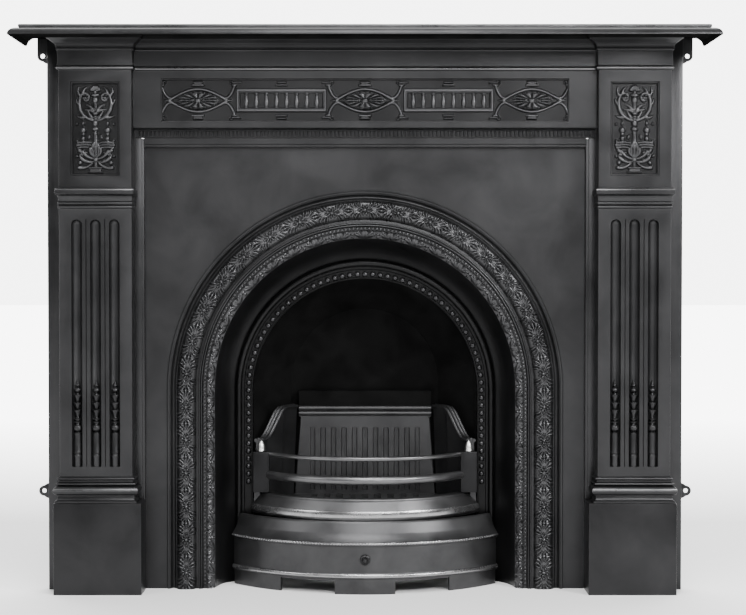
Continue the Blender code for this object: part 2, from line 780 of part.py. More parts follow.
def arch_profile():
    # (radius, y) across the plate's mouldings: over the front from the rim to the mouth, then along the back
    points = [(rim_outer, 0.0), (rim_outer, -rim_rise), (rim_inner, -rim_rise), (rim_inner - 0.003, -0.001)]
    points += [(foliage_outer, -0.002), (foliage_outer - foliage_slope, -foliage_rise)]
    points += [(foliage_inner + foliage_slope, -foliage_rise), (foliage_inner, -0.002)]
    points += [(reed_outer, -reed_rise), (reed_inner, -reed_rise), (slope_outer, -0.003), (cove_outer, cove_front)]
    cove_back = bead_band_depth - 0.004
    for i in range(1, 2):
        share = i / 2
        bulge = math.sin(math.pi * share) * cove_hollow
        reach = cove_outer - cove_width * share + bulge * 0.6
        points.append((reach, cove_front + (cove_back - cove_front) * share + bulge))
    points.append((cove_inner, cove_back))
    points.append((cove_inner - ridge_width * 0.3, bead_band_depth - ridge_rise))
    points.append((ridge_inner + ridge_width * 0.2, bead_band_depth - ridge_rise))
    points += [(ridge_inner, bead_band_depth), (bead_ring_radius + bead_radius, bead_band_depth)]
    points += [(bead_ring_radius + bead_radius * 0.5, bead_front)]
    points += [(bead_ring_radius - bead_radius * 0.5, bead_front)]
    points += [(bead_ring_radius - bead_radius, bead_band_depth), (mouth_radius, bead_band_depth)]
    points += [(mouth_radius, lip_back), (mouth_radius + lip_thickness, lip_back)]
    points += [(mouth_radius + lip_thickness, ring_back), (cove_inner + 0.004, ring_back)]
    points += [(cove_inner + wall + 0.006, cove_back), (cove_outer + wall + 0.002, plate_thickness)]
    points.append((rim_outer, plate_thickness))
    return points


def arch_place(radius, distance):
    # Point and outward direction at a distance along the arch from its left foot
    spring = spring_at(radius)
    bend = math.pi * radius
    if distance < spring:
        return Vector((-radius, 0, distance)), Vector((-1, 0, 0))
    if distance < spring + bend:
        turn = math.pi - (distance - spring) / radius
        away = Vector((math.cos(turn), 0, math.sin(turn)))
        return Vector((0, 0, spring)) + away * radius, away
    return Vector((radius, 0, 2 * spring + bend - distance)), Vector((1, 0, 0))


def foliage_forms(collection):
    # A raised leaf across the flat of the band for each repeat of its foliage
    radius = foliage_middle
    length = 2 * spring_at(radius) + math.pi * radius
    repeats = round(length / foliage_pitch)
    pitch = length / repeats
    reach = foliage_width / 2 - foliage_slope - 0.001
    for i in range(repeats):
        place, away = arch_place(radius, (i + 0.5) * pitch)
        place.y = -foliage_rise
        along = Vector((-away.z, 0, away.x))
        mesh = stud_mesh("lobe_" + str(i), place, away * reach, along * 0.0220, 0.0048, 0.0015)
        guide_object(mesh.name, mesh, collection)


def build_arched_plate(parts, cutters, material):
    adds = bpy.data.collections.new("arched_plate_forms")
    cutters.children.link(adds)
    bm = bmesh.new()
    rows = [[bm.verts.new(point) for point in arch_loop(radius, y)] for radius, y in arch_profile()]
    for outer, inner in zip(rows, rows[1:]):
        for i in range(len(outer) - 1):
            bm.faces.new((outer[i], outer[i + 1], inner[i + 1], inner[i]))
    half = plate_width / 2
    frames = []
    for y in (0.0, plate_thickness):
        corners = ((-half, 0.0), (-half, plate_height), (half, plate_height), (half, 0.0))
        frames.append([bm.verts.new((x, y, z)) for x, z in corners])
    bm.faces.new(frames[0] + rows[0][::-1])
    bm.faces.new(frames[1] + rows[-1][::-1])
    for i in range(3):
        bm.faces.new((frames[0][i], frames[0][i + 1], frames[1][i + 1], frames[1][i]))
    for end in (0, -1):
        bm.faces.new([frames[0][end]] + [row[end] for row in rows] + [frames[1][end]])
    plate = add_object("arched_plate", mesh_from_bmesh("arched_plate", bm), parts, material)
    foliage_forms(adds)
    join_forms(plate, adds, "UNION")
    return plate


def build_firebox(parts, material):
    # An open tapering hood with its back, thickened outwards
    front = ring_back + clearance
    mouth = mouth_radius + lip_thickness + clearance
    spring = spring_at(mouth_radius + lip_thickness)
    stations = [(mouth, spring, front), (mouth, spring, lip_back + 0.004)]
    stations.append((dome_half_width, dome_top - dome_half_width, firebox_back))
    bm = bmesh.new()
    rows = []
    for radius, spring, y in stations:
        points = [(-radius, y, 0.0)]
        for i in range(arch_steps + 1):
            turn = math.pi - math.pi * i / arch_steps
            points.append((radius * math.cos(turn), y, spring + radius * math.sin(turn)))
        points.append((radius, y, 0.0))
        rows.append([bm.verts.new(point) for point in points])
    for near, far in zip(rows, rows[1:]):
        for i in range(len(near) - 1):
            bm.faces.new((near[i], near[i + 1], far[i + 1], far[i]))
    bm.faces.new(rows[-1])
    firebox = add_object("firebox", mesh_from_bmesh("firebox", bm), parts, material)
    shell = firebox.modifiers.new("Solidify", "SOLIDIFY")
    shell.thickness = wall
    shell.offset = 1.0
    shell.use_even_offset = True
    return firebox


def build_fire_back(parts, cutters, material):
    front = back_panel_front
    back = firebox_back - clearance

    def loop(y):
        low, high = back_panel_bottom_width / 2, back_panel_top_width / 2
        return [(-low, y, back_panel_bottom), (low, y, back_panel_bottom), (high, y, back_panel_top),
                (-high, y, back_panel_top)]

    fire_back = add_object("fire_back", loft_mesh("fire_back", [loop(front), loop(back)]), parts, material)
    adds = bpy.data.collections.new("fire_back_forms")
    cuts = bpy.data.collections.new("fire_back_cuts")
    cutters.children.link(adds)
    cutters.children.link(cuts)
    half = back_rail_width / 2
    profile = [(front - 0.001, back_panel_top - 0.002)]
    for bottom in (back_panel_top, back_panel_top + 0.0115):
        profile += [(front - reach, z) for z, reach in half_round(bottom, 0.011, 0.001, 0.006, 3)]
    profile += [(front - 0.001, back_panel_top + 0.025), (front, back_rail_top - 0.002), (front + 0.002, back_rail_top)]
    profile += [(back, back_rail_top), (back, back_panel_top - 0.002)]
    ends = [[(x, y, z) for y, z in profile] for x in (-half, half)]
    guide_object("back_rail", loft_mesh("back_rail", ends), adds)
    for i in range(slot_count):
        x = (i - (slot_count - 1) / 2) * slot_pitch
        half_slot = slot_width / 2
        outline = [(x - half_slot, slot_bottom), (x + half_slot, slot_bottom), (x + half_slot, slot_top - half_slot),
                   (x, slot_top), (x - half_slot, slot_top - half_slot)]
        ends = [[(px, y, pz) for px, pz in outline] for y in (front - 0.01, front + slot_depth)]
        guide_object("slot_" + str(i), loft_mesh("slot_" + str(i), ends), cuts)
    join_forms(fire_back, adds, "UNION")
    join_forms(fire_back, cuts, "DIFFERENCE")
    return fire_back


def cheek_height(share):
    # The rail's swan neck, from the post to the back
    climb = min(1.0, max(0.0, (share - 0.10) / 0.50))
    fall = min(1.0, max(0.0, (share - 0.65) / 0.35))
    top = cheek_back_top + 0.010
    rise = (top - cheek_front_top) * climb * climb * (3 - 2 * climb)
    return cheek_front_top + rise - 0.010 * fall * fall * (3 - 2 * fall)


def build_cheek(name, side, parts, material):
    steps = 9
    front_y = bead_front
    back_y = back_panel_front - clearance
    top_front = post_middle
    top_back = back_rail_width / 2 + rail_overhang + clearance
    bottom_front = post_middle + 0.006
    bottom_back = back_panel_bottom_width / 2 + 0.001
    loops = []
    for i in range(steps + 1):
        share = i / steps
        y = front_y + (back_y - front_y) * share
        top = top_front + (top_back - top_front) * share
        bottom = bottom_front + (bottom_back - bottom_front) * share
        z = cheek_height(share)
        loop = [(bottom, y, cheek_bottom), (bottom + cheek_thickness, y, cheek_bottom)]
        loop += [(top + cheek_thickness, y, z - 0.008), (top + cheek_thickness + rail_overhang, y, z - 0.004)]
        loop += [(top + cheek_thickness, y, z), (top + cheek_thickness * 0.75, y, z - 0.002)]
        loop += [(top + cheek_thickness / 2, y, z + 0.0025), (top + cheek_thickness * 0.25, y, z - 0.002)]
        loop += [(top, y, z), (top - rail_overhang, y, z - 0.004), (top, y, z - 0.008)]
        loops.append(mirror_points(loop, side))
    return add_object(name, loft_mesh(name, loops), parts, material)


def bow_point(half_chord, end_y, bow, share):
    # A point on a circular bow towards the front, for a share of -1 to 1 across it
    radius = (half_chord**2 + bow**2) / (2 * bow)
    turn = share * math.asin(half_chord / radius)
    return radius * math.sin(turn), end_y - bow + radius * (1 - math.cos(turn))


def bow_outward(half_chord, bow, share):
    radius = (half_chord**2 + bow**2) / (2 * bow)
    turn = share * math.asin(half_chord / radius)
    return math.sin(turn), -math.cos(turn)


def build_front_bars(parts, cutters, scrap, material):
    half_chord = post_middle - post_width / 2
    end_y = post_front + post_thickness / 2
    posts = []
    for side in (-1, 1):
        low = (side * post_middle - post_width / 2, post_front, ledge_top + clearance)
        high = (side * post_middle + post_width / 2, post_front + post_thickness, post_top)
        posts.append((low, high))
    bars = add_object("front_bars", box_mesh("front_bars", *posts[0]), parts, material)
    adds = bpy.data.collections.new("front_bars_forms")
    cutters.children.link(adds)
    guide_object("right_post", box_mesh("right_post", *posts[1]), adds)
    for label, height, radius, resolution in (("thin_bar", thin_bar_height, thin_bar_radius, 0),
                                              ("thick_bar", thick_bar_height, thick_bar_radius, 1)):
        points = []
        for i in range(13):
            share = i / 6 - 1
            x, y = bow_point(half_chord, end_y, bar_bow, share)
            points.append((x * 1.015, y, height))
        guide_object(label, tube_mesh(label, points, radius, scrap, resolution), adds)
    join_forms(bars, adds, "UNION")
    return bars


def build_finial(name, side, parts, material):
    profile = ((0.0, 0.0), (0.65, 0.0), (0.9, 0.06), (1.0, 0.16), (0.72, 0.30), (0.42, 0.58), (0.20, 0.85), (0.0, 1.0))
    bottom = post_top + clearance
    points = [(finial_radius * radius, bottom + finial_height * share) for radius, share in profile]
    place = (side * post_middle, post_front + post_thickness / 2, 0.0)
    return add_object(name, turned_mesh(name, points, 8, place), parts, material)


def build_ledge(parts, material):
    steps = 12
    loops = []
    drop = ledge_top - ledge_front_bottom
    for i in range(steps + 1):
        share = 2 * i / steps - 1
        outer_x, outer_y = bow_point(ledge_half_chord, ledge_end, ledge_bow, share)
        inner_x, inner_y = bow_point(ledge_inner_half_chord, ledge_end, ledge_inner_bow, share)

        def across(reach):
            return inner_x + (outer_x - inner_x) * reach, inner_y + (outer_y - inner_y) * reach

        loop = [(*across(0.0), ledge_top), (*across(0.48), ledge_top - 0.001), (*across(0.55), ledge_top - drop * 0.12)]
        loop += [(*across(0.80), ledge_top - drop * 0.45), (*across(1.0), ledge_top - drop * 0.85)]
        loop.append((*across(0.97), ledge_front_bottom))
        loop += [(*across(0.60), ledge_front_bottom), (*across(0.45), grate_bottom), (*across(0.0), grate_bottom)]
        loops.append(loop)
    return add_object("front_ledge", loft_mesh("front_ledge", loops), parts, material)


def build_grate(parts, cutters, material):
    # A flat grate between the ledge, the cheeks and the fire back, with slots from front to back
    steps = 16
    outline = []
    for i in range(steps + 1):
        share = 2 * i / steps - 1
        x, y = bow_point(ledge_inner_half_chord, ledge_end, ledge_inner_bow, share * 0.96)
        outward_x, outward_y = bow_outward(ledge_inner_half_chord, ledge_inner_bow, share * 0.96)
        outline.append((x - outward_x * clearance * 3, y - outward_y * clearance * 3))
    back_y = back_panel_front - clearance
    half_back = back_panel_bottom_width / 2 - 0.004
    outline += [(half_back, back_y), (-half_back, back_y)]
    loops = [[(x, y, z) for x, y in outline] for z in (grate_bottom, grate_top)]
    grate = add_object("bottom_grate", loft_mesh("bottom_grate", loops), parts, material)
    cuts = bpy.data.collections.new("bottom_grate_cuts")
    cutters.children.link(cuts)
    half_slot = grate_slot_width / 2
    for i in range(grate_slots):
        x = (i - (grate_slots - 1) / 2) * grate_slot_pitch
        bow_share = abs(x) / ledge_inner_half_chord
        start = bow_point(ledge_inner_half_chord, ledge_end, ledge_inner_bow, bow_share)[1] + 0.016
        mesh = box_mesh("grate_slot", (x - half_slot, start, grate_bottom - 0.01),
                        (x + half_slot, back_y - 0.014, grate_top + 0.01))
        guide_object("grate_slot_" + str(i), mesh, cuts)
    join_forms(grate, cuts, "DIFFERENCE")
    return grate


def cover_loops(section, shares):
    # Loops of (outward, height) points carried along the bow of the ash-pan cover
    loops = []
    for share in shares:
        x, y = bow_point(cover_half_chord, cover_end, cover_bow, share)
        outward_x, outward_y = bow_outward(cover_half_chord, cover_bow, share)
        loops.append([(x + outward_x * reach, y + outward_y * reach, z) for reach, z in section])
    return loops


def build_ash_cover(parts, cutters, material):
    steps = 12
    inner = -cover_thickness
    section = [(reach, z) for z, reach in half_round(cover_bottom, 0.018, 0.0, 0.005, 3)]
    section += [(0.0, cover_face_top - 0.009), (0.006, cover_face_top - 0.005), (0.006, cover_face_top)]
    section += [(-rim_run * 0.40, cover_face_top + 0.017), (-rim_run, cover_rim_top)]
    section += [(-rim_run - 0.007, cover_rim_top), (inner, cover_face_top - 0.006), (inner, cover_bottom)]
    shares = [2 * i / steps - 1 for i in range(steps + 1)]
    cover = add_object("ash_pan_cover", loft_mesh("ash_pan_cover", cover_loops(section, shares)), parts, material)
    adds = bpy.data.collections.new("ash_pan_cover_forms")
    cutters.children.link(adds)
    foot = [(0.0, 0.0), (0.0, cover_bottom + 0.004), (inner + 0.001, cover_bottom + 0.004), (inner + 0.001, 0.0)]
    radius = (cover_half_chord**2 + cover_bow**2) / (2 * cover_bow)
    full = math.asin(cover_half_chord / radius)
    middle_share = math.asin(cover_foot_width / 2 / radius) / full
    side_share = math.asin(cover_side_foot / radius) / full
    for label, start, stop in (("left", -0.99, -side_share), ("middle", -middle_share, middle_share),
                               ("right", side_share, 0.99)):
        shares = [start + (stop - start) * i / 3 for i in range(4)]
        guide_object("foot_" + label, loft_mesh("foot_" + label, cover_loops(foot, shares)), adds)
    front_y = cover_end - cover_bow
    boss = [(0.0, -0.004), (1.0, -0.004), (1.0, 0.006), (0.7, 0.0085), (0.0, 0.010)]
    boss = [(boss_radius * radius_share, out) for radius_share, out in boss]
    guide_object("boss", turned_mesh("boss", boss, 8, (0.0, front_y, boss_height), "Y"), adds)
    join_forms(cover, adds, "UNION")
    return cover


def main():
    for obj in list(bpy.data.objects):
        bpy.data.objects.remove(obj)
    scene = bpy.context.scene.collection
    parts = bpy.data.collections.new(body_name)
    cutters = bpy.data.collections.new("cutters")
    scene.children.link(parts)
    scene.children.link(cutters)

    surround = make_material("satin black cast iron", (0.020, 0.020, 0.021), 0.42, 0.6)
    insert = make_material("graphite blacked cast iron", (0.032, 0.032, 0.033), 0.45, 0.6)
    inside = make_material("sooty cast iron", (0.010, 0.010, 0.010), 0.7, 0.4)
    hearth = make_material("burnished graphite cast iron", (0.060, 0.060, 0.062), 0.35, 0.8)
    bright = make_material("polished nickel steel", (0.75, 0.75, 0.74), 0.15, 1.0)

    build_shelf(parts, cutters, surround)
    build_frieze(parts, cutters, surround)
    for name, side in (("left", -1), ("right", 1)):
        build_leg(name + "_leg", side, parts, cutters, surround)
        for level, height in (("lower", lower_lug_height), ("upper", upper_lug_height)):
            build_lug(name + "_" + level + "_lug", side, height, parts, cutters, surround)
        build_cheek(name + "_cheek", side, parts, inside)
        build_finial(name + "_finial", side, parts, bright)
    build_arched_plate(parts, cutters, insert)
    build_firebox(parts, inside)
    build_fire_back(parts, cutters, inside)
    build_front_bars(parts, cutters, cutters, hearth)
    build_ledge(parts, hearth)
    build_grate(parts, cutters, inside)
    build_ash_cover(parts, cutters, hearth)

    root = bpy.data.objects.new("root", None)
    parts.objects.link(root)
    for obj in list(parts.objects):
        if obj is not root:
            obj.parent = root
    for collection in cutters.children_recursive:
        for obj in collection.objects:
            obj.parent = root
    root.location.y = (shelf_front - firebox_back - wall) / 2


main()
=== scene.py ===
import math
from math import cos, pi, sin

import bmesh
import bpy
import numpy as np
from mathutils import Matrix, Vector


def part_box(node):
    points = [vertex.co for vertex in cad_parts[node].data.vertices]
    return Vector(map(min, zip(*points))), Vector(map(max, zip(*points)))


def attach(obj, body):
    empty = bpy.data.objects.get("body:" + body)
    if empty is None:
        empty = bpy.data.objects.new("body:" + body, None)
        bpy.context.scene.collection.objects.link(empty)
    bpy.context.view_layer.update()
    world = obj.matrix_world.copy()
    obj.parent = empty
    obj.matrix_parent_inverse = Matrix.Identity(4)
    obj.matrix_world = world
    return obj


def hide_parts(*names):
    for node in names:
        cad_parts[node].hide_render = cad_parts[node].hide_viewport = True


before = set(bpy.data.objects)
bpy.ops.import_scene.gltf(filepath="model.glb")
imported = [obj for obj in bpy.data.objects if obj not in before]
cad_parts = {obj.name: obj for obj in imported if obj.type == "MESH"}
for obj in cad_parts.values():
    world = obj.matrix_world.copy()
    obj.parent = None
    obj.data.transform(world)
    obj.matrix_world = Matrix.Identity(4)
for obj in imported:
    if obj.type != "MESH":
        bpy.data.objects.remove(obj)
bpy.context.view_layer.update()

print("frame loaded with", len(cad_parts), "nodes")

mm = 0.001
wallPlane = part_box("mantel_shelf")[1][1]
plateThickness = 10 * mm
plateFront = wallPlane - plateThickness  # every piece is drawn with y = 0 here, then moved once
hairline = 0.3 * mm  # joint between castings


# Numbers and points

def lengths(**sizes):
    # A dictionary of lengths, given in millimetres
    return {name: size * mm for name, size in sizes.items()}


def inMm(pairs, base=(0.0, 0.0)):
    # Points given in millimetres from a base point
    return [(base[0] + first * mm, base[1] + second * mm) for first, second in pairs]


def shares(steps):
    return [i / steps for i in range(steps + 1)]


def arcPoints(centre, size, start, sweep, steps):
    # Points on a circle or an ellipse, both ends included
    turns = [start + sweep * share for share in shares(steps)]
    return [(centre[0] + size[0] * cos(turn), centre[1] + size[1] * sin(turn)) for turn in turns]


# Profiles, as lists of (height, reach) from bottom to top

def roundBead(bottom, height, base, reach, steps=8):
    return arcPoints((bottom + height / 2, base), (-height / 2, reach), 0, pi, steps)


def hollow(startZ, startReach, endZ, endReach, steps=8):
    # A quarter hollow that leaves the wall slowly and ends under an overhang
    return arcPoints((startZ, endReach), (endZ - startZ, startReach - endReach), pi / 2, -pi / 2, steps)


def ogee(startZ, startReach, endZ, endReach, steps=12):
    swells = [(share, share - sin(2 * pi * share) / (2 * pi)) for share in shares(steps)]
    return [(startZ + (endZ - startZ) * share, startReach + (endReach - startReach) * swell) for share, swell in swells]


# Meshes

def settled(name, bm):
    bmesh.ops.remove_doubles(bm, verts=bm.verts, dist=1e-6)
    bmesh.ops.recalc_face_normals(bm, faces=bm.faces)
    if bm.calc_volume(signed=True) < 0:
        bmesh.ops.reverse_faces(bm, faces=bm.faces)
    mesh = bpy.data.meshes.new(name)
    bm.to_mesh(mesh)
    bm.free()
    return mesh


def joinedRows(bm, rows, closed):
    # Faces between neighbouring rows, which all have the same number of points
    rows = [[bm.verts.new(point) for point in row] for row in rows]
    for near, far in zip(rows, rows[1:]):
        for i in range(len(near) if closed else len(near) - 1):
            j = (i + 1) % len(near)
            bm.faces.new((near[i], near[j], far[j], far[i]))
    return rows


def skinned(name, rows, capped=True):
    bm = bmesh.new()
    rings = joinedRows(bm, rows, True)
    if capped:
        bm.faces.new(rings[0][::-1])
        bm.faces.new(rings[-1])
    return settled(name, bm)


def turned(name, profile, steps, centre=(0, 0, 0), alongY=0):
    # Spins (radius, distance) points about Z or, with alongY as 1 or -1, about Y in that direction
    cx, cy, cz = centre
    rows = []
    for radius, along in profile:
        ring = arcPoints((0, 0), (radius, radius), 0, 2 * pi, steps)[:-1]
        if alongY:
            rows.append([(cx + u, cy + alongY * along, cz + v) for u, v in ring])
        else:
            rows.append([(cx + u, cy + v, cz + along) for u, v in ring])
    return skinned(name, rows, capped=False)


def block(name, low, high, edge=0.0):
    bm = bmesh.new()
    bmesh.ops.create_cube(bm, size=1.0)
    for vert in bm.verts:
        for axis in range(3):
            vert.co[axis] = low[axis] + (vert.co[axis] + 0.5) * (high[axis] - low[axis])
    if edge:
        bmesh.ops.bevel(bm, geom=list(bm.edges), offset=edge, segments=2, profile=0.5, affect="EDGES")
    return settled(name, bm)


def acrossX(name, outline, half):
    # A bar of one section, given as (y, z), from -half to half
    return skinned(name, [[(x, y, z) for y, z in outline] for x in (-half, half)])


def panelCutter(middle, width, bottom, top, levels):
    # A sunk panel, from (y, inset) in front of the face back to its ground
    rows = []
    for y, inset in levels:
        left, right, low, high = middle - width / 2 + inset, middle + width / 2 - inset, bottom + inset, top - inset
        rows.append([(left, y, low), (right, y, low), (right, y, high), (left, y, high)])
    return skinned("panel", rows)


def roundedRectangle(z, x0, x1, y0, y1, edge):
    # Square at the wall, eased at the two front corners
    points = []
    for cx, start in ((x0 + edge, pi), (x1 - edge, 1.5 * pi)):
        points += [(x, y, z) for x, y in arcPoints((cx, y0 + edge), (edge, edge), start, pi / 2, 3)]
    return points + [(x1, y1, z), (x0, y1, z)]


def fused(name, meshes):
    bm = bmesh.new()
    for mesh in meshes:
        bm.from_mesh(mesh)
    mesh = bpy.data.meshes.new(name)
    bm.to_mesh(mesh)
    bm.free()
    return mesh


def flippedX(mesh):
    other = mesh.copy()
    other.transform(Matrix.Scale(-1, 4, (1, 0, 0)))
    other.flip_normals()
    return other


def stoodUp(mesh, x, y, z):
    # A motif drawn flat, X along, Y up and Z out, stood in the wall plane with its face to the room
    mesh.transform(Matrix(((1, 0, 0, x), (0, 0, -1, y), (0, 1, 0, z), (0, 0, 0, 1))))
    return mesh


def evaluated(name, mesh, addModifiers=lambda holder: None):
    # Runs modifiers on a loose object and keeps only the resulting mesh
    holder = bpy.data.objects.new(name, mesh)
    bpy.context.scene.collection.objects.link(holder)
    addModifiers(holder)
    graph = bpy.context.evaluated_depsgraph_get()
    graph.update()
    result = bpy.data.meshes.new_from_object(holder.evaluated_get(graph))
    bpy.data.objects.remove(holder)
    return result


def carved(name, mesh, cutters):
    group = bpy.data.collections.new(name + " cutters")
    bpy.context.scene.collection.children.link(group)
    tools = [bpy.data.objects.new(name + " cutter", cutter) for cutter in cutters]
    for tool in tools:
        group.objects.link(tool)

    def cut(holder):
        modifier = holder.modifiers.new("Carve", "BOOLEAN")
        modifier.operation = "DIFFERENCE"
        modifier.operand_type = "COLLECTION"
        modifier.collection = group
        modifier.solver = "EXACT"

    result = evaluated(name, mesh, cut)
    for tool in tools:
        bpy.data.objects.remove(tool)
    bpy.data.collections.remove(group)
    return result


def pathCurve(name, points):
    curve = bpy.data.curves.new(name, "CURVE")
    curve.dimensions = "3D"
    spline = curve.splines.new("POLY")
    spline.points.add(len(points) - 1)
    for target, point in zip(spline.points, points):
        target.co = (*point, 1.0)
    return curve


def rod(name, points, radius):
    curve = pathCurve(name, points)
    curve.bevel_depth = radius
    curve.bevel_resolution = 6
    curve.use_fill_caps = True
    bm = bmesh.new()
    bm.from_mesh(evaluated(name, curve))
    return settled(name, bm)


def addPiece(name, meshes, finish, nodes=(), sharpAngle=32):
    mesh = fused(name, meshes)
    mesh.transform(Matrix.Translation((0, plateFront, 0)))
    mesh.materials.clear()
    mesh.materials.append(finish)
    mesh.polygons.foreach_set("material_index", [0] * len(mesh.polygons))
    mesh.shade_smooth()
    mesh.set_sharp_from_angle(angle=math.radians(sharpAngle))
    piece = bpy.data.objects.new(name, mesh)
    bpy.context.scene.collection.objects.link(piece)
    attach(piece, "root")
    if nodes:
        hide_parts(*nodes)
    print("made", name, "with", len(mesh.polygons), "faces")
    return piece


def finishWhere(piece, finish, isThere):
    piece.data.materials.append(finish)
    for polygon in piece.data.polygons:
        if isThere(polygon):
            polygon.material_index = len(piece.data.materials) - 1


def isBetween(ranges):
    return lambda polygon: any(low < polygon.center.z < high for low, high in ranges)


# Node trees

def addNode(tree, kind, given={}):
    # Given are values for inputs, sockets to link to inputs, and the node's own settings
    node = tree.nodes.new(kind)
    for key, value in given.items():
        if isinstance(value, bpy.types.NodeSocket):
            tree.links.new(value, node.inputs[key])
        elif isinstance(key, int) or key in node.inputs:
            node.inputs[key].default_value = value
        else:
            setattr(node, key, value)
    return node


def motifRowTree():
    # Repeats a flat motif and lays the row along a curve: X runs along it, Z faces the given way
    tree = bpy.data.node_groups.new("Motifs along a path", "GeometryNodeTree")
    sockets = (("Path", "Object"), ("Motif", "Object"), ("Count", "Int"), ("Spacing", "Float"), ("Start", "Float"),
               ("Facing", "Vector"), ("Finish", "Material"))
    for label, kind in sockets:
        tree.interface.new_socket(name=label, in_out="INPUT", socket_type="NodeSocket" + kind)
    tree.interface.new_socket(name="Geometry", in_out="OUTPUT", socket_type="NodeSocketGeometry")
    given = addNode(tree, "NodeGroupInput").outputs
    path = addNode(tree, "GeometryNodeObjectInfo", {"Object": given["Path"]})
    motif = addNode(tree, "GeometryNodeObjectInfo", {"Object": given["Motif"]})
    first = addNode(tree, "ShaderNodeCombineXYZ", {"X": given["Start"]})
    step = addNode(tree, "ShaderNodeCombineXYZ", {"X": given["Spacing"]})
    line = addNode(tree, "GeometryNodeMeshLine", {"mode": "OFFSET", "Count": given["Count"],
                                                  "Start Location": first.outputs[0], "Offset": step.outputs[0]})
    placed = addNode(tree, "GeometryNodeInstanceOnPoints", {"Points": line.outputs[0],
                                                            "Instance": motif.outputs["Geometry"]})
    real = addNode(tree, "GeometryNodeRealizeInstances", {"Geometry": placed.outputs[0]})
    where = addNode(tree, "GeometryNodeInputPosition")
    split = addNode(tree, "ShaderNodeSeparateXYZ", {"Vector": where.outputs[0]})
    along = addNode(tree, "GeometryNodeSampleCurve", {"mode": "LENGTH", "use_all_curves": True,
                                                      "Curves": path.outputs["Geometry"],
                                                      "Length": split.outputs["X"]})
    away = addNode(tree, "ShaderNodeVectorMath", {"operation": "CROSS_PRODUCT", 0: given["Facing"],
                                                  1: along.outputs["Tangent"]})
    sideways = addNode(tree, "ShaderNodeVectorMath", {"operation": "SCALE", 0: away.outputs[0],
                                                      "Scale": split.outputs["Y"]})
    forward = addNode(tree, "ShaderNodeVectorMath", {"operation": "SCALE", 0: given["Facing"],
                                                     "Scale": split.outputs["Z"]})
    moved = addNode(tree, "ShaderNodeVectorMath", {"operation": "ADD", 0: along.outputs["Position"],
                                                   1: sideways.outputs[0]})
    ended = addNode(tree, "ShaderNodeVectorMath", {"operation": "ADD", 0: moved.outputs[0], 1: forward.outputs[0]})
    laid = addNode(tree, "GeometryNodeSetPosition", {"Geometry": real.outputs[0], "Position": ended.outputs[0]})
    painted = addNode(tree, "GeometryNodeSetMaterial", {"Geometry": laid.outputs[0], "Material": given["Finish"]})
    addNode(tree, "NodeGroupOutput", {"Geometry": painted.outputs[0]})
    return tree


rowTree = motifRowTree()


def motifRow(name, motif, points, count, spacing, start, finish, facing=(0, -1, 0)):
    helpers = [bpy.data.objects.new(name + " path", pathCurve(name, points)),
               bpy.data.objects.new(name + " motif", motif)]
    for helper in helpers:
        bpy.context.scene.collection.objects.link(helper)
    given = {"Path": helpers[0], "Motif": helpers[1], "Count": count, "Spacing": spacing, "Start": start,
             "Facing": facing, "Finish": finish}

    def repeat(holder):
        modifier = holder.modifiers.new("Row", "NODES")
        modifier.node_group = rowTree
        for item in rowTree.interface.items_tree:
            if item.in_out == "INPUT":
                modifier[item.identifier] = given[item.name]

    mesh = evaluated(name, bpy.data.meshes.new(name), repeat)
    for helper in helpers:
        bpy.data.objects.remove(helper)
    return mesh


def straightRow(name, motif, middle, y, z, count, pitch, margin, finish):
    # Motifs side by side along X about a middle, on a path that ends a margin beyond the outer ones
    half = pitch * (count - 1) / 2 + margin
    return motifRow(name, motif, [(middle - half, y, z), (middle + half, y, z)], count, pitch, margin, finish)


# Finishes

def linear(code):
    channels = [int(code[i:i + 2], 16) / 255 for i in (1, 3, 5)]
    return (*[c / 12.92 if c <= 0.04045 else ((c + 0.055) / 1.055) ** 2.4 for c in channels], 1.0)


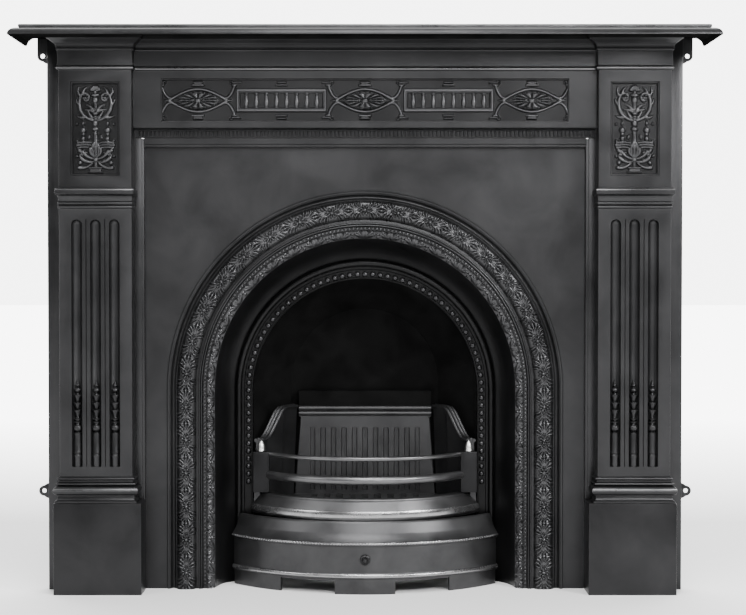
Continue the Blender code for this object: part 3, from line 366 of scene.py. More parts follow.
def castIron(name, look, ground=None, top=None):
    # Sand-cast skin: a fine grain that breaks up highlights, and broad polish marks that make them uneven.
    # With a ground and a top depth, the colour is scaled by depth from one factor to the other: painted shade in the
    # hollows of the carving and painted highlight on its crests.
    material = bpy.data.materials.new(name)
    material.use_nodes = True
    tree = material.node_tree
    tree.nodes.clear()
    spot = addNode(tree, "ShaderNodeTexCoord").outputs["Object"]
    grain = addNode(tree, "ShaderNodeTexNoise", {"Scale": 1 / (look["grainMm"] * mm), "Detail": 3.0,
                                                 "Roughness": 0.6, "Vector": spot})
    patches = addNode(tree, "ShaderNodeTexNoise", {"Scale": 1 / (look["patchMm"] * mm), "Detail": 4.0,
                                                   "Roughness": 0.55, "Distortion": 0.4, "Vector": spot})
    tone = addNode(tree, "ShaderNodeValToRGB", {"Fac": patches.outputs["Fac"]})
    for stop, position, shade in zip(tone.color_ramp.elements, (0.30, 0.72), ("dark", "light")):
        stop.position = position
        stop.color = linear(look[shade])
    sheen = addNode(tree, "ShaderNodeMapRange", {"From Min": 0.3, "From Max": 0.7,
                                                 "To Min": look["roughness"] - look["spread"],
                                                 "To Max": look["roughness"] + look["spread"],
                                                 "Value": patches.outputs["Fac"]})
    bump = addNode(tree, "ShaderNodeBump", {"Strength": look["bump"], "Distance": look["grainMm"] * mm * 0.25,
                                            "Height": grain.outputs["Fac"]})
    colour = tone.outputs["Color"]
    # Painted shade and painted highlight: the colour is scaled by depth between the ground and the top
    if ground is not None:
        split = addNode(tree, "ShaderNodeSeparateXYZ", {"Vector": spot})
        height = addNode(tree, "ShaderNodeMapRange", {"From Min": plateFront + ground, "From Max": plateFront + top,
                                                      "To Min": look["paintedLightAtGround"], "To Max": look["paintedLightAtTop"],
                                                      "Value": split.outputs["Y"]})
        colour = addNode(tree, "ShaderNodeVectorMath", {"operation": "SCALE", 0: colour,
                                                        "Scale": height.outputs["Result"]}).outputs[0]
    shader = addNode(tree, "ShaderNodeBsdfPrincipled", {"Metallic": look["metallic"],
                                                        "Specular IOR Level": look.get("specular", 0.5),
                                                        "Base Color": colour, "Roughness": sheen.outputs["Result"],
                                                        "Normal": bump.outputs["Normal"]})
    addNode(tree, "ShaderNodeOutputMaterial", {"Surface": shader.outputs["BSDF"]})
    return material


# Satin blacked casting: dark, with soft grey highlights on every edge
satinLook = {"dark": "#29292a", "light": "#353536", "roughness": 0.34, "spread": 0.05, "metallic": 0.8,
             "grainMm": 1.6, "patchMm": 90, "bump": 0.35, "paintedLightAtGround": 0.5, "paintedLightAtTop": 2.5}
satinBlack = castIron("Satin black cast iron", satinLook)
# Arrises and beads of the surround: a lighter copy of the satin black, as painted highlight
rubbedEdge = castIron("Satin black cast iron rubbed along its edges",
                      dict(satinLook, dark="#505051", light="#6a6a6b", roughness=0.30))
# Hollow of the cornice: darker and duller than the faces beside it, as painted shade
shadedHollowIron = castIron("Satin black cast iron, painted shade in the hollow",
                      dict(satinLook, dark="#1a1a1b", light="#232324", roughness=0.46))
# Posts beside the fire: a darker, duller copy of the satin black, as painted shade
shadedPostIron = castIron("Satin black cast iron, painted shade on the posts",
                    dict(satinLook, dark="#1c1c1d", light="#262627", roughness=0.44))
# Graphite-blacked insert: the same metal blacked with grate polish, a little lighter and softer.
# Its colour darkens from the plate's face back into the cove as painted shade.
graphiteLook = dict(satinLook, dark="#272728", light="#363637", roughness=0.37, patchMm=120, paintedLightAtGround=0.28, paintedLightAtTop=1.0)
graphiteIron = castIron("Graphite blacked cast iron", graphiteLook, 88 * mm, 8 * mm)
# Carvings: painted shade on their ground and painted highlight on their crests
reliefShadedLook = dict(graphiteLook, paintedLightAtGround=0.3, paintedLightAtTop=2.7, roughness=0.30)
# Heat-dulled, sooted casting inside the fire, nearly black, matt and without reflection, darker still as painted shade;
# the same finish is painted shade on the shelf's underside, on the cornice top under the shelf's nose and on the band
# over the fire back
sootAndShadeIron = castIron("Sooty cast iron and painted shade", {
    "dark": "#0c0c0c", "light": "#151515", "roughness": 0.85, "spread": 0.08, "metallic": 0.0, "specular": 0.0,
    "grainMm": 2.0, "patchMm": 60, "bump": 0.6})
# Iron of the basket: polished like the hearth castings, but darkened by the fire
hearthDark = castIron("Fire-darkened cast iron", {
    "dark": "#333334", "light": "#444445", "roughness": 0.40, "spread": 0.06, "metallic": 0.8,
    "grainMm": 1.6, "patchMm": 50, "bump": 0.4})
# Burnished hearth castings: hands and brushes have polished them brighter than the rest
burnishedLook = {"dark": "#4c4c4d", "light": "#606061", "roughness": 0.36, "spread": 0.06, "metallic": 0.9,
                 "grainMm": 1.2, "patchMm": 70, "bump": 0.25}
burnishedIron = castIron("Burnished cast iron", burnishedLook)
# Bars: handled most, so bright all round
barIron = castIron("Burnished cast iron, bars", dict(burnishedLook, dark="#5c5c5d", light="#727273", roughness=0.32))
# Cover of the ash pan: burnished like the bars, but darker where ash and soot are wiped into it
coverIron = castIron("Burnished cast iron, sooted",
                     dict(burnishedLook, dark="#3d3d3e", light="#525253", roughness=0.38))
# Nosings and beads of ledge and cover: cuffs, shovel and polishing cloth wear these lines bright, and their colour is
# lighter still as painted highlight
wornAndHighlightedEdge = castIron("Cast iron worn bright along its edges", {
    "dark": "#8c8c8d", "light": "#aaaaab", "roughness": 0.27, "spread": 0.05, "metallic": 0.95,
    "grainMm": 1.2, "patchMm": 40, "bump": 0.2})
# Buffed nickel: mirror bright, with faint buffing haze
buffedNickel = castIron("Buffed nickel plate", {
    "dark": "#dcdcda", "light": "#eaeae8", "roughness": 0.34, "spread": 0.02, "metallic": 1.0,
    "grainMm": 0.8, "patchMm": 20, "bump": 0.01})


# Relief, as height over a flat ground in millimetres

def strokeHeight(x, y, points, radii, rise):
    # A rounded ridge along a line of points, as broad at each as its radius
    height = np.zeros_like(x)
    for (ax, ay), (bx, by), startRadius, endRadius in zip(points, points[1:], radii, radii[1:]):
        dx, dy = bx - ax, by - ay
        share = np.clip(((x - ax) * dx + (y - ay) * dy) / max(dx * dx + dy * dy, 1e-9), 0, 1)
        radius = startRadius + (endRadius - startRadius) * share
        gap = np.hypot(x - ax - share * dx, y - ay - share * dy) / radius
        height = np.maximum(height, rise * (radius / max(radii)) * np.clip(1 - gap * gap, 0, 1) ** 0.6)
    return height


def dome(x, y, centre, size, rise, turn=0.0):
    u = ((x - centre[0]) * cos(turn) + (y - centre[1]) * sin(turn)) / size[0]
    v = ((y - centre[1]) * cos(turn) - (x - centre[0]) * sin(turn)) / size[1]
    return rise * np.clip(1 - u * u - v * v, 0, 1) ** 0.6


def tablet(x, y, centre, size, rise):
    inside = np.minimum(size[0] / 2 - np.abs(x - centre[0]), size[1] / 2 - np.abs(y - centre[1]))
    return rise * np.clip(inside / 1.2, 0, 1)  # 1.2 mm of slope at the edge


def highest(x, y, strokes=(), domes=(), tablets=()):
    height = np.zeros_like(x)
    for shape, rows in ((strokeHeight, strokes), (dome, domes), (tablet, tablets)):
        for row in rows:
            np.maximum(height, shape(x, y, *row), out=height)
    return height


def frond(start, middle, end, widths, rise, count=7):
    # A stroke along a bend, from one width to the other
    points = []
    for t in shares(count - 1):
        points.append(tuple((1 - t) ** 2 * a + 2 * t * (1 - t) * b + t * t * c for a, b, c in zip(start, middle, end)))
    return points, np.linspace(*widths, count), rise


def scroll(centre, radii, start, sweep, widths, rise, count=18):
    # A stroke that coils inwards
    points = []
    for t in shares(count - 1):
        radius, turn = radii[0] + (radii[1] - radii[0]) * t, start + sweep * t
        points.append((centre[0] + radius * cos(turn), centre[1] + radius * sin(turn)))
    return points, np.linspace(*widths, count), rise


def reliefMesh(name, width, height, cell, heightAt, sink=2.0):
    # A closed slab, in millimetres until the end, whose top follows heightAt
    columns, lines = round(width / cell), round(height / cell)
    x, y = np.meshgrid(np.linspace(-width / 2, width / 2, columns + 1), np.linspace(-height / 2, height / 2, lines + 1))
    top = np.stack([x, y, heightAt(x, y)], -1).reshape(-1, 3)
    index = np.arange(len(top)).reshape(lines + 1, columns + 1)
    faces = np.stack([index[:-1, :-1], index[:-1, 1:], index[1:, 1:], index[1:, :-1]], -1).reshape(-1, 4).tolist()
    border = np.concatenate([index[0, :-1], index[:-1, -1], index[-1, :0:-1], index[:0:-1, 0]])
    base = top[border].copy()
    base[:, 2] = -sink
    count, edge = len(top), len(border)
    for i in range(edge):
        j = (i + 1) % edge
        faces.append((int(border[i]), count + i, count + j, int(border[j])))
    faces.append(tuple(range(count + edge - 1, count - 1, -1)))
    mesh = bpy.data.meshes.new(name)
    mesh.from_pydata((np.concatenate([top, base]) * mm).tolist(), [], faces)
    mesh.update()
    return mesh


# Arched plate: its bands follow each other outwards from the mouth, whose arch springs a mouthDrop lower than theirs

arch = lengths(
    spring=423, mouthDrop=11, mouthRadius=243, lipThickness=9, lipDepth=24, beadBand=19, beadBandDepth=88,
    ridgeGap=4, ridgeWidth=14, ridgeRise=10, coveWidth=38, coveFront=12, coveHollow=9, leafSlope=16, leafPitch=53,
    pearlRow=9, pearlPitch=8.2, reeds=9, reedRise=6, reedGroove=5, foliage=41, foliagePitch=70, cavetto=14, rim=6,
    rimRise=5, wall=8, bead=6.6, beadPitch=16.5)
bandOuter = arch["mouthRadius"] + arch["beadBand"]
ridgeInner = bandOuter + arch["ridgeGap"]
coveInner = ridgeInner + arch["ridgeWidth"]
coveOuter = coveInner + arch["coveWidth"]
slopeOuter = coveOuter + arch["leafSlope"]
reedInner = slopeOuter + arch["pearlRow"]
reedOuter = reedInner + arch["reeds"]
foliageInner = reedOuter + arch["reedGroove"]
foliageOuter = foliageInner + arch["foliage"]
rimInner = foliageOuter + arch["cavetto"]
rimOuter = rimInner + arch["rim"]
lipBack = arch["beadBandDepth"] + arch["lipDepth"]
lipOuter = arch["mouthRadius"] + arch["lipThickness"]
ringBack = arch["beadBandDepth"] + 11 * mm


def springAt(radius):
    share = min(1.0, max(0.0, (radius - arch["mouthRadius"]) / (coveOuter - arch["mouthRadius"])))
    return arch["spring"] - arch["mouthDrop"] * (1 - share)


def hoop(radius, spring, y, foot=0.0, steps=96):
    # A half circle on two straight legs
    arc = [(x, y, z) for x, z in arcPoints((0, spring), (radius, radius), pi, -pi, steps)]
    return [(-radius, y, foot)] + arc + [(radius, y, foot)]


def halfRound(startRadius, endRadius, base, rise, steps=6):
    # A half round across the arch, rising towards the room from the base depth
    return arcPoints(((startRadius + endRadius) / 2, base), ((startRadius - endRadius) / 2, -rise), 0, pi, steps)


def archProfile():
    # (radius, depth) from the rim inwards to the mouth, then back out behind the mouldings
    rise, front, back, mouth = arch["rimRise"], arch["coveFront"], arch["beadBandDepth"], arch["mouthRadius"]
    edge = 1.5 * mm
    points = [(rimOuter, 0.0), (rimOuter, edge - rise), (rimOuter - edge, -rise), (rimInner + edge, -rise),
              (rimInner, edge - rise)]
    run = rimInner - foliageOuter - 2 * mm
    for share in shares(8):  # hollow between the rim and the foliage
        depth = -3 * mm + 2 * mm * share + 6.5 * mm * sin(pi * share) ** 0.8
        points.append((rimInner - 1 * mm - run * share, depth))
    bed = ((0, -1), (2, -4.2), (6, -7))  # cushion under the foliage, as (inset, depth)
    points += [(foliageOuter - inset * mm, depth * mm) for inset, depth in bed]
    points += [(foliageInner + inset * mm, depth * mm) for inset, depth in bed[::-1]]
    half, lift = arch["reeds"] / 2, arch["reedRise"] - 2 * mm
    points += halfRound(reedOuter, reedOuter - half, -2 * mm, lift)
    points += halfRound(reedInner + half, reedInner, -2 * mm, lift)[1:]
    points += [(reedInner - 1 * mm, 0.0), (slopeOuter + 1 * mm, 0.0), (slopeOuter, -3 * mm)]
    points += [(coveOuter + 2 * mm, front - 2.5 * mm), (coveOuter, front - 1.5 * mm)]

    def cove(outer, width, start, swell, steps):
        bulges = [(share, sin(pi * share) * arch["coveHollow"]) for share in shares(steps)]
        return [(outer - width * share + bulge * 0.6, start + (back - 4 * mm - start) * share + bulge * swell)
                for share, bulge in bulges]

    points += cove(coveOuter, arch["coveWidth"], front, 1.0, 16)
    points += halfRound(coveInner - 0.2 * mm, ridgeInner, back, arch["ridgeRise"], 10)[1:]
    points += [(bandOuter, back), (bandOuter - 1.5 * mm, back + 2 * mm)]
    points += inMm([(4, 2), (3, 0), (1, 0), (0, 1)], (mouth, back))
    points += [(mouth, lipBack), (lipOuter, lipBack), (lipOuter, ringBack), (coveInner + 4 * mm, ringBack)]
    points += cove(coveOuter + arch["wall"] + 2 * mm, arch["coveWidth"] - 4 * mm, plateThickness, 0.8, 8)[::-1]
    return points + [(rimOuter, plateThickness)]


def plateMesh():
    bm = bmesh.new()
    rows = joinedRows(bm, [hoop(radius, springAt(radius), y) for radius, y in archProfile()], False)
    low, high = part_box("arched_plate")
    corners = ((low[0], 0.0), (low[0], high[2]), (high[0], high[2]), (high[0], 0.0))
    frames = [[bm.verts.new((x, y, z)) for x, z in corners] for y in (0.0, plateThickness)]
    bm.faces.new(frames[0] + rows[0][::-1])
    bm.faces.new(frames[1] + rows[-1][::-1])
    for i in range(3):
        bm.faces.new((frames[0][i], frames[0][i + 1], frames[1][i + 1], frames[1][i]))
    for end in (0, -1):
        bm.faces.new([frames[0][end]] + [row[end] for row in rows] + [frames[1][end]])
    return settled("plate", bm)


def foliageHeight(x, y):
    # One repeat of the acanthus band: a rosette, leaves fanning from it, and a bud where repeats meet
    base = 9.5 * np.clip(1 - np.abs(y / (arch["foliage"] / mm / 2)) ** 4, 0, 1) + 0.3
    strokes, domes = [], [((0, 0), (4.2, 4.2), 5.5)]
    for i in range(8):
        turn = 2 * pi * (i + 0.5) / 8
        domes.append(((8.2 * cos(turn), 8.2 * sin(turn)), (4.4, 2.3), 4.0, turn))
    for side in (-1, 1):
        for lift in (-1, 1):
            for k, (endX, endY, width) in enumerate(((14, 18, 2.6), (21, 17.5, 2.6), (28, 14.5, 2.6), (32, 8.5, 2.5))):
                start = (side * (9 + k * 2.6), lift * (6.5 - k * 1.5))
                middle = (side * (endX - 3 + k), lift * endY * 0.45)
                strokes.append(frond(start, middle, (side * endX, lift * endY), (1.5, width), 4.4 - 0.2 * k))
        domes.append(((side * 35, 0), (3.4, 3.4), 4.6))
        strokes += [frond((side * 12, 0), (side * 20, 0), (side * 30, 0), (1.4, 2.2), 3.6),
                    ([(side * 35, 6), (side * 35, 19)], [2.8, 1.6], 4.4),
                    ([(side * 35, -6), (side * 35, -17)], [2.4, 1.4], 3.8)]
    return base + highest(x, y, strokes, domes)


def leafHeight(x, y):
    # One repeat of the leaf row on the slope: a broad water leaf between two small berries
    leaf = dome(x, y, (0, -1), (18, 9), 2.6)
    leaf = leaf - 1.6 * np.exp(-(x / 1.6) ** 2) * (leaf > 0.4)
    strokes, domes = [], []
    for side in (-1, 1):
        for endX, endY in ((8, 8.5), (15, 7), (20, 3)):
            strokes.append(frond((side * 2, -7), (side * endX * 0.6, -2), (side * endX, endY), (1.0, 2.3), 3.4))
        domes += [((side * 26.5, 2.5), (3.0, 3.0), 3.6), ((side * 26.5, -5), (2.0, 4.0), 2.8)]
    return np.maximum(leaf, highest(x, y, strokes, domes)) + 0.3


def archRow(name, makeMotif, radius, y, pitch, foot=0.0):
    # As many motifs as the pitch allows, shared out evenly from foot to foot
    length = 2 * (springAt(radius) - foot) + pi * radius
    count = round(length / pitch)
    spacing = length / count
    path = hoop(radius, springAt(radius), y, foot)
    return motifRow(name, makeMotif(spacing), path, count, spacing, spacing / 2, graphiteIron)


def makeArchedPlate():
    addPiece("arched_plate_casting", [plateMesh()], graphiteIron, ["arched_plate"], 26)

    def foliageMotif(spacing):
        return reliefMesh("foliage", spacing / mm, arch["foliage"] / mm, 1.25, foliageHeight)

    foliage = archRow("foliage", foliageMotif, (foliageInner + foliageOuter) / 2, 0.0, arch["foliagePitch"])
    # Painted shade on the band's ground and painted highlight on the foliage's crests
    reliefShadedIron = castIron("Graphite blacked cast iron, carved band", reliefShadedLook, -3 * mm, -15 * mm)
    addPiece("arch_foliage", [foliage], reliefShadedIron, (), 40)

    run, drop = arch["leafSlope"], arch["coveFront"] + 1.5 * mm

    def leafMotif(spacing):
        motif = reliefMesh("leaf", spacing / mm, math.hypot(run, drop) / mm - 3, 1.3, leafHeight, 1.0)
        motif.transform(Matrix.Rotation(math.atan2(drop, run), 4, "X"))
        return motif

    slopeDepth = (arch["coveFront"] - 4.5 * mm) / 2
    leaves = archRow("leaves", leafMotif, (coveOuter + slopeOuter) / 2, slopeDepth, arch["leafPitch"])
    pearl = turned("pearl", inMm([(0, -3), (2.2, -2), (3, 0), (2.2, 2), (0, 3)]), 8)
    pearls = archRow("pearls", lambda spacing: pearl, (slopeOuter + reedInner) / 2, -1 * mm, arch["pearlPitch"])
    bead = turned("bead", arcPoints((0, 0), (arch["bead"], arch["bead"]), -pi / 2, pi, 6), 12)
    radius, depth = arch["mouthRadius"] + arch["beadBand"] / 2, arch["beadBandDepth"] + 1.3 * mm
    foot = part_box("front_ledge")[1][2] + 13 * mm
    beads = archRow("beads", lambda spacing: bead, radius, depth, arch["beadPitch"], foot)
    # Leaves, pearls and beads take a lighter copy of the carved finish, lightest towards the room: painted highlight
    highlightedRowsIron = castIron("Graphite blacked cast iron, bead rows", dict(reliefShadedLook, paintedLightAtGround=1.5, paintedLightAtTop=1.9), 88 * mm, 0)
    addPiece("arch_rows", [leaves, pearls, beads], highlightedRowsIron, (), 40)


# Legs: proud is how far a face stands before the plate, lap how much of the plate a leg covers; the shade, hollow
# and highlight heights bound the painted shadow and shade of the cornice and the painted highlights of the cornice,
# astragal and base

leg = lengths(
    inner=483, outer=634, proud=62, lap=19.5, flangeProud=12, outerFlange=33, flangeTop=1162, plinth=191,
    plinthSide=12, plinthFront=13, height=1164, edge=1.4, fluteWidth=22, flutePitch=39, fluteBottom=266, fluteTop=779,
    panelWidth=102, panelBottom=869, panelTop=1064, panelDepth=9, hollowBottom=1133.4, hollowTop=1143.5, shade=1151.5,
    wall=8, frontWall=18, groove=1.7, fillet=2.5, innerFlangeTop=949.5, filletTop=955, notchTop=945.3)
leg["rubbed"] = inMm([(1091, 1096.4), (838.6, 843.4), (216, 221.5)])
legMiddle = (leg["inner"] + leg["outer"]) / 2
beyondBack = plateThickness + 10 * mm


def finishCornice(casting):
    # Painted shadow, near black, on the cornice top under the shelf's nose, painted shade in the cornice hollow, and
    # painted highlight on the front faces of the beads and arrises
    finishWhere(casting, sootAndShadeIron, lambda polygon: polygon.center.z > leg["shade"])
    finishWhere(casting, shadedHollowIron, isBetween([(leg["hollowBottom"], leg["hollowTop"])]))
    isHighlightBand = isBetween(leg["rubbed"])
    finishWhere(casting, rubbedEdge, lambda polygon: polygon.normal.y < -0.1 and isHighlightBand(polygon))


def upperMoulding():
    # Small bead, plain cap band and cornice, the same on legs and frieze
    points = [(1087, 0)] + roundBead(1088, 8, 0.5, 4)
    points += [(1096.6, 0), (1097.4, 2), (1127.4, 2), (1128, 2.6)] + roundBead(1128.6, 3.6, 3.4, 1.4, 4)
    points += [(1133, 3.4)] + ogee(1134, 5, 1160, 25.4) + [(1160.6, 26.6), (1161.4, 27)]
    return inMm(points) + [(leg["height"], 27 * mm)]


def legProfile():
    # (height, inner reach, outer reach, front reach), from the floor up
    top = leg["plinth"]
    eased = ((0.0, 0, 0), (top - 2.2 * mm, 0, 0), (top - 1.0 * mm, 0, 0.3 * mm), (top - 0.2 * mm, 1 * mm, 1.2 * mm))
    levels = [(z, leg["lap"] - a, leg["plinthSide"] - b, leg["plinthFront"] - b) for z, a, b in eased]
    # Base, in millimetres above the plinth: hollow, torus and two beads
    points = [(0.4, 9.5), (3, 9.5), (3.4, 8.5)] + hollow(14.5, 4, 4, 8.5, 6)[::-1] + roundBead(15.5, 19, 4, 9, 12)
    points += [(35.2, 4.5)] + roundBead(36, 6.4, 3.2, 4.2, 6) + [(43.5, 1.8), (46.5, 1.8)]
    points = inMm(points + roundBead(47.2, 6, 1.6, 3.6, 6) + [(54.4, 0)], (top, 0.0))
    # Astragal over the shaft: two beads, a hollow and an arris
    astragal = [(797.5, 0)] + roundBead(801, 7, 0.8, 4.4, 6) + [(808.6, 1.6)] + roundBead(809.4, 6, 1.6, 3.6, 6)
    astragal += [(816.2, 2.4)] + hollow(817, 2.6, 829.5, 12)
    astragal += [(830.2, 13.6), (831.6, 15), (838.8, 15.4), (840.6, 14.6), (842.6, 11), (843.6, 4), (844.6, 0)]
    levels += [(z, reach, reach, reach) for z, reach in points]
    levels += [(z, reach * 0.4, reach * 0.4, reach) for z, reach in inMm(astragal)]  # the sides hardly overhang
    return levels + [(z, reach, reach, reach) for z, reach in upperMoulding()]


def flutedBody():
    proud, inner, outer = leg["proud"], leg["inner"], leg["outer"]
    rows = [roundedRectangle(z, inner - left, outer + right, -proud - front, plateThickness, leg["edge"])
            for z, left, right, front in legProfile()]
    wall = leg["wall"]
    cutters = [block("plate notch", (inner - 60 * mm, -hairline, -10 * mm), (inner, beyondBack, leg["notchTop"])),
               block("pocket", (inner + wall, -proud + leg["frontWall"], wall),
                     (outer - wall, beyondBack, leg["height"] - wall))]
    radius, bottom, top = leg["fluteWidth"] / 2, leg["fluteBottom"], leg["fluteTop"]
    profile = [(0, bottom - 1 * mm), (radius * 0.92, bottom - 0.6 * mm), (radius, bottom + 1.2 * mm)]
    profile += arcPoints((0, top - radius), (radius, radius), 0, pi / 2, 7)
    for i in (-1, 0, 1):
        cutters.append(turned("flute", profile, 36, (legMiddle + i * leg["flutePitch"], -proud, 0)))
    for i in (-0.5, 0.5):
        x, half = legMiddle + i * leg["flutePitch"], leg["groove"]
        section = ((x - half, -proud - half), (x, -proud + half), (x + half, -proud - half))
        cutters.append(skinned("groove", [[(*point, z) for point in section] for z in (bottom, top)]))
    levels = [(y - proud, inset) for y, inset in inMm([(-2, -0.6), (3, 1.6), (3.2, 3.2)])]
    levels.append((leg["panelDepth"] - proud, 5.2 * mm))
    cutters.append(panelCutter(legMiddle, leg["panelWidth"], leg["panelBottom"], leg["panelTop"], levels))
    return carved("leg", skinned("leg", rows), cutters)


def flangeMeshes():
    inner, proud, bottom = leg["inner"] - leg["lap"], leg["flangeProud"], leg["plinth"] - 2 * mm
    stop = leg["inner"] + 4 * mm
    return [block("inner flange", (inner, -proud, bottom), (stop, -hairline, leg["innerFlangeTop"]), 1.2 * mm),
            block("inner fillet", (inner + 5 * mm, -proud - leg["fillet"], bottom),
                  (stop, -proud + 1 * mm, leg["filletTop"]), 0.9 * mm),
            block("outer flange", (leg["outer"] - 4 * mm, -proud, 0.0),
                  (leg["outer"] + leg["outerFlange"], plateThickness, leg["flangeTop"]), 1.2 * mm)]


def huskDropProfile():
    # Rod with two rings, a ball, two rings, three husks, two beads and a point: radii as shares of the rod's
    def ball(middle, wide, tall, neck, steps):
        return arcPoints((neck, middle), (wide, tall), -pi / 2, pi, steps)[1:-1]

    profile = [(0, 262), (1, 262), (1, 284), (1.12, 286), (1.12, 289), (0.96, 290.5), (0.96, 292.5), (1.1, 293.5),
               (1.1, 296), (1, 298), (1, 335), (0.55, 338.5)] + ball(346, 1.08, 7.5, 0.2, 8)
    bead = ((0.5, 0), (0.95, 1.5), (1.0, 3), (0.5, 4.6))
    husk = ((0.42, 0), (0.6, 4), (0.85, 9), (1.22, 13.6), (1.2, 14.6), (0.5, 15.2))
    for form, low in ((bead, 355.5), (bead, 362), (husk, 369), (husk, 384), (husk, 400)):
        profile += [(share, low + up) for share, up in form]
    profile += [(0.3, 418.5)] + ball(425, 0.78, 5, 0.1, 6) + [(0.25, 431)] + ball(434.6, 0.5, 3.2, 0.08, 6)
    return [(share * 7.6 * mm, z * mm) for share, z in profile + [(0.3, 439), (0, 447)]]


def blockHeight(x, y):
    # Candelabrum: an urn stem with scrolling branches, pendant drops and a leafy foot, left and right alike
    strokes = [([(0, 14), (0, 62)], [2.6, 2.2], 3.2),
               ([(0, 60), (0, 78), (0, 112), (0, 165)], [4.0, 3.4, 2.8, 2.6], 4.6)]
    domes = [((0, z), (wide, tall), rise) for z, wide, tall, rise in (
        (30, 4.8, 4.5, 6), (88, 4.6, 3.2, 6), (97.5, 6.4, 4.2, 6.6), (110, 5.4, 6.5, 7), (124, 4.2, 2.6, 6),
        (131, 5.2, 3.4, 6.6), (161, 5.6, 6.8, 7), (171, 8.4, 3.2, 6.4), (178, 3.4, 4.4, 5))]
    for lean in (0, 0.45, 0.95, 1.4):
        strokes.append(([(0.5, 181), (9.5 * sin(lean), 181 + 8.5 * cos(lean))], [1.2, 2.3], 4.6))
    # Branch that leaves the stem, swings out and curls into a rosette
    strokes += [frond((3, 116), (24, 118), (35, 140), (2.0, 3.0), 5.6, 9),
                frond((35, 140), (39, 158), (32, 171), (3.0, 2.4), 5.4),
                scroll((22.5, 165), (11.5, 4.5), 0.45, 1.75 * pi, (2.4, 1.6), 5.0)]
    domes.append(((22.5, 165), (3.4, 3.4), 6.2))
    for turn in (i * pi / 3 for i in range(6)):
        domes.append(((22.5 + 5.4 * cos(turn), 165 + 5.4 * sin(turn)), (2.3, 1.5), 4.2, turn))
    # Leaves along the branch
    strokes += [frond(*leaf, (2.9, 1.3), 5.0) for leaf in (
        ((5, 138), (12, 150), (21, 150)), ((5, 136), (14, 140), (24, 139)), ((24, 124), (33, 120), (42, 126)),
        ((36, 150), (43, 152), (44, 162)), ((8, 122), (16, 132), (17, 137)), ((36, 172), (42, 178), (38, 188)),
        ((28, 176), (27, 184), (20, 188)))]
    # Pendant husk drops beside the stem
    strokes.append(([(28, 122), (28, 100)], [1.0, 1.0], 2.6))
    domes += [((28, z), (wide, tall), rise) for z, wide, tall, rise in (
        (110, 3.0, 4.0, 4.4), (95, 5.6, 5.6, 7), (86, 3.6, 3.6, 4.6), (77, 4.4, 4.4, 6), (69.5, 2.4, 4.0, 4))]
    domes.append(((14, 80), (3.0, 4.4), 4.2, 0.3))
    # Fringed band of fine leaves
    for z, tip in ((56.5, 41), (62, 43), (67.5, 41)):
        strokes.append(frond((7, z - 1), (20, z + 3), (tip, z), (1.4, 2.0), 3.8))
    # Leafy foot: scrolls and leaves that rise from the bead above the pedestal
    strokes += [frond(*leaf, (1.6, 3.0), 5.4) for leaf in (
        ((3, 34), (12, 60), (2.5, 66)), ((4, 32), (20, 34), (29, 48)), ((20, 46), (30, 44), (37, 51)),
        ((6, 26), (20, 22), (33, 34)), ((8, 22), (22, 10), (38, 13)), ((5, 38), (14, 44), (12, 54)))]
    strokes.append(scroll((32, 39), (5.6, 1.8), -1.8, 1.6 * pi, (1.9, 1.3), 4.6, 12))
    domes += [(spot, (size, size), 5.0) for spot, size in (
        ((35.5, 24), 4.0), ((42, 38), 2.6), ((20, 29), 2.4), ((42, 72), 2.6), ((42, 108), 2.4))]
    pedestal = [((0, 12), (32, 5.0), 5.6), ((0, 7), (26, 7.0), 3.6), ((0, 3), (36, 4.0), 5.0)]
    # The casting is fuller than these lines
    strokes = [(points, [1.7 * radius for radius in radii], rise * 1.15) for points, radii, rise in strokes]
    domes = [(spot, [1.35 * radius for radius in size], rise * 1.15, *lean) for spot, size, rise, *lean in domes]
    return highest(np.abs(x), y + 97.5, strokes, domes, pedestal) + 0.35


def makeLegs():
    proud, pitch, ground = leg["proud"], leg["flutePitch"], leg["panelDepth"] - leg["proud"]
    husks = turned("husk drop", huskDropProfile(), 20, alongY=1)
    drops = straightRow("husk drops", husks, legMiddle, -proud + 8.2 * mm, 0, 3, pitch, 60 * mm - pitch, satinBlack)
    fullWidth, fullHeight = leg["panelWidth"] / mm, (leg["panelTop"] - leg["panelBottom"]) / mm
    width, height = fullWidth - 10, fullHeight - 10
    relief = reliefMesh("candelabrum", width, height, 0.9,
                        lambda x, y: blockHeight(x * fullWidth / width, y * fullHeight / height))
    stoodUp(relief, legMiddle, ground, (leg["panelBottom"] + leg["panelTop"]) / 2)
    bodyMeshes = [flutedBody(), drops] + flangeMeshes()
    # Painted shade on the panel's ground and painted highlight on the relief's crests
    reliefShadedIron = castIron("Satin black cast iron, carved block", satinLook, ground, ground - 7 * mm)
    for side, handed in (("left", flippedX), ("right", lambda mesh: mesh)):
        casting = addPiece(side + "_leg_casting", [handed(mesh) for mesh in bodyMeshes], satinBlack,
                           [side + "_leg"], 26)
        finishCornice(casting)
        addPiece(side + "_leg_carving", [handed(relief)], reliefShadedIron, (), 40)


# Frieze

frieze = lengths(proud=40, bandBottom=951, bandHeight=19, bandProud=22, lintelBottom=932, panelWidth=850,
                 panelBottom=982, panelTop=1073, panelDepth=8, eyeSpacing=348, dentilPitch=8.2, balusterPitch=21,
                 wall=14, frontWall=16)
frieze["balusters"] = 8
friezeMiddle = (frieze["panelBottom"] + frieze["panelTop"]) / 2


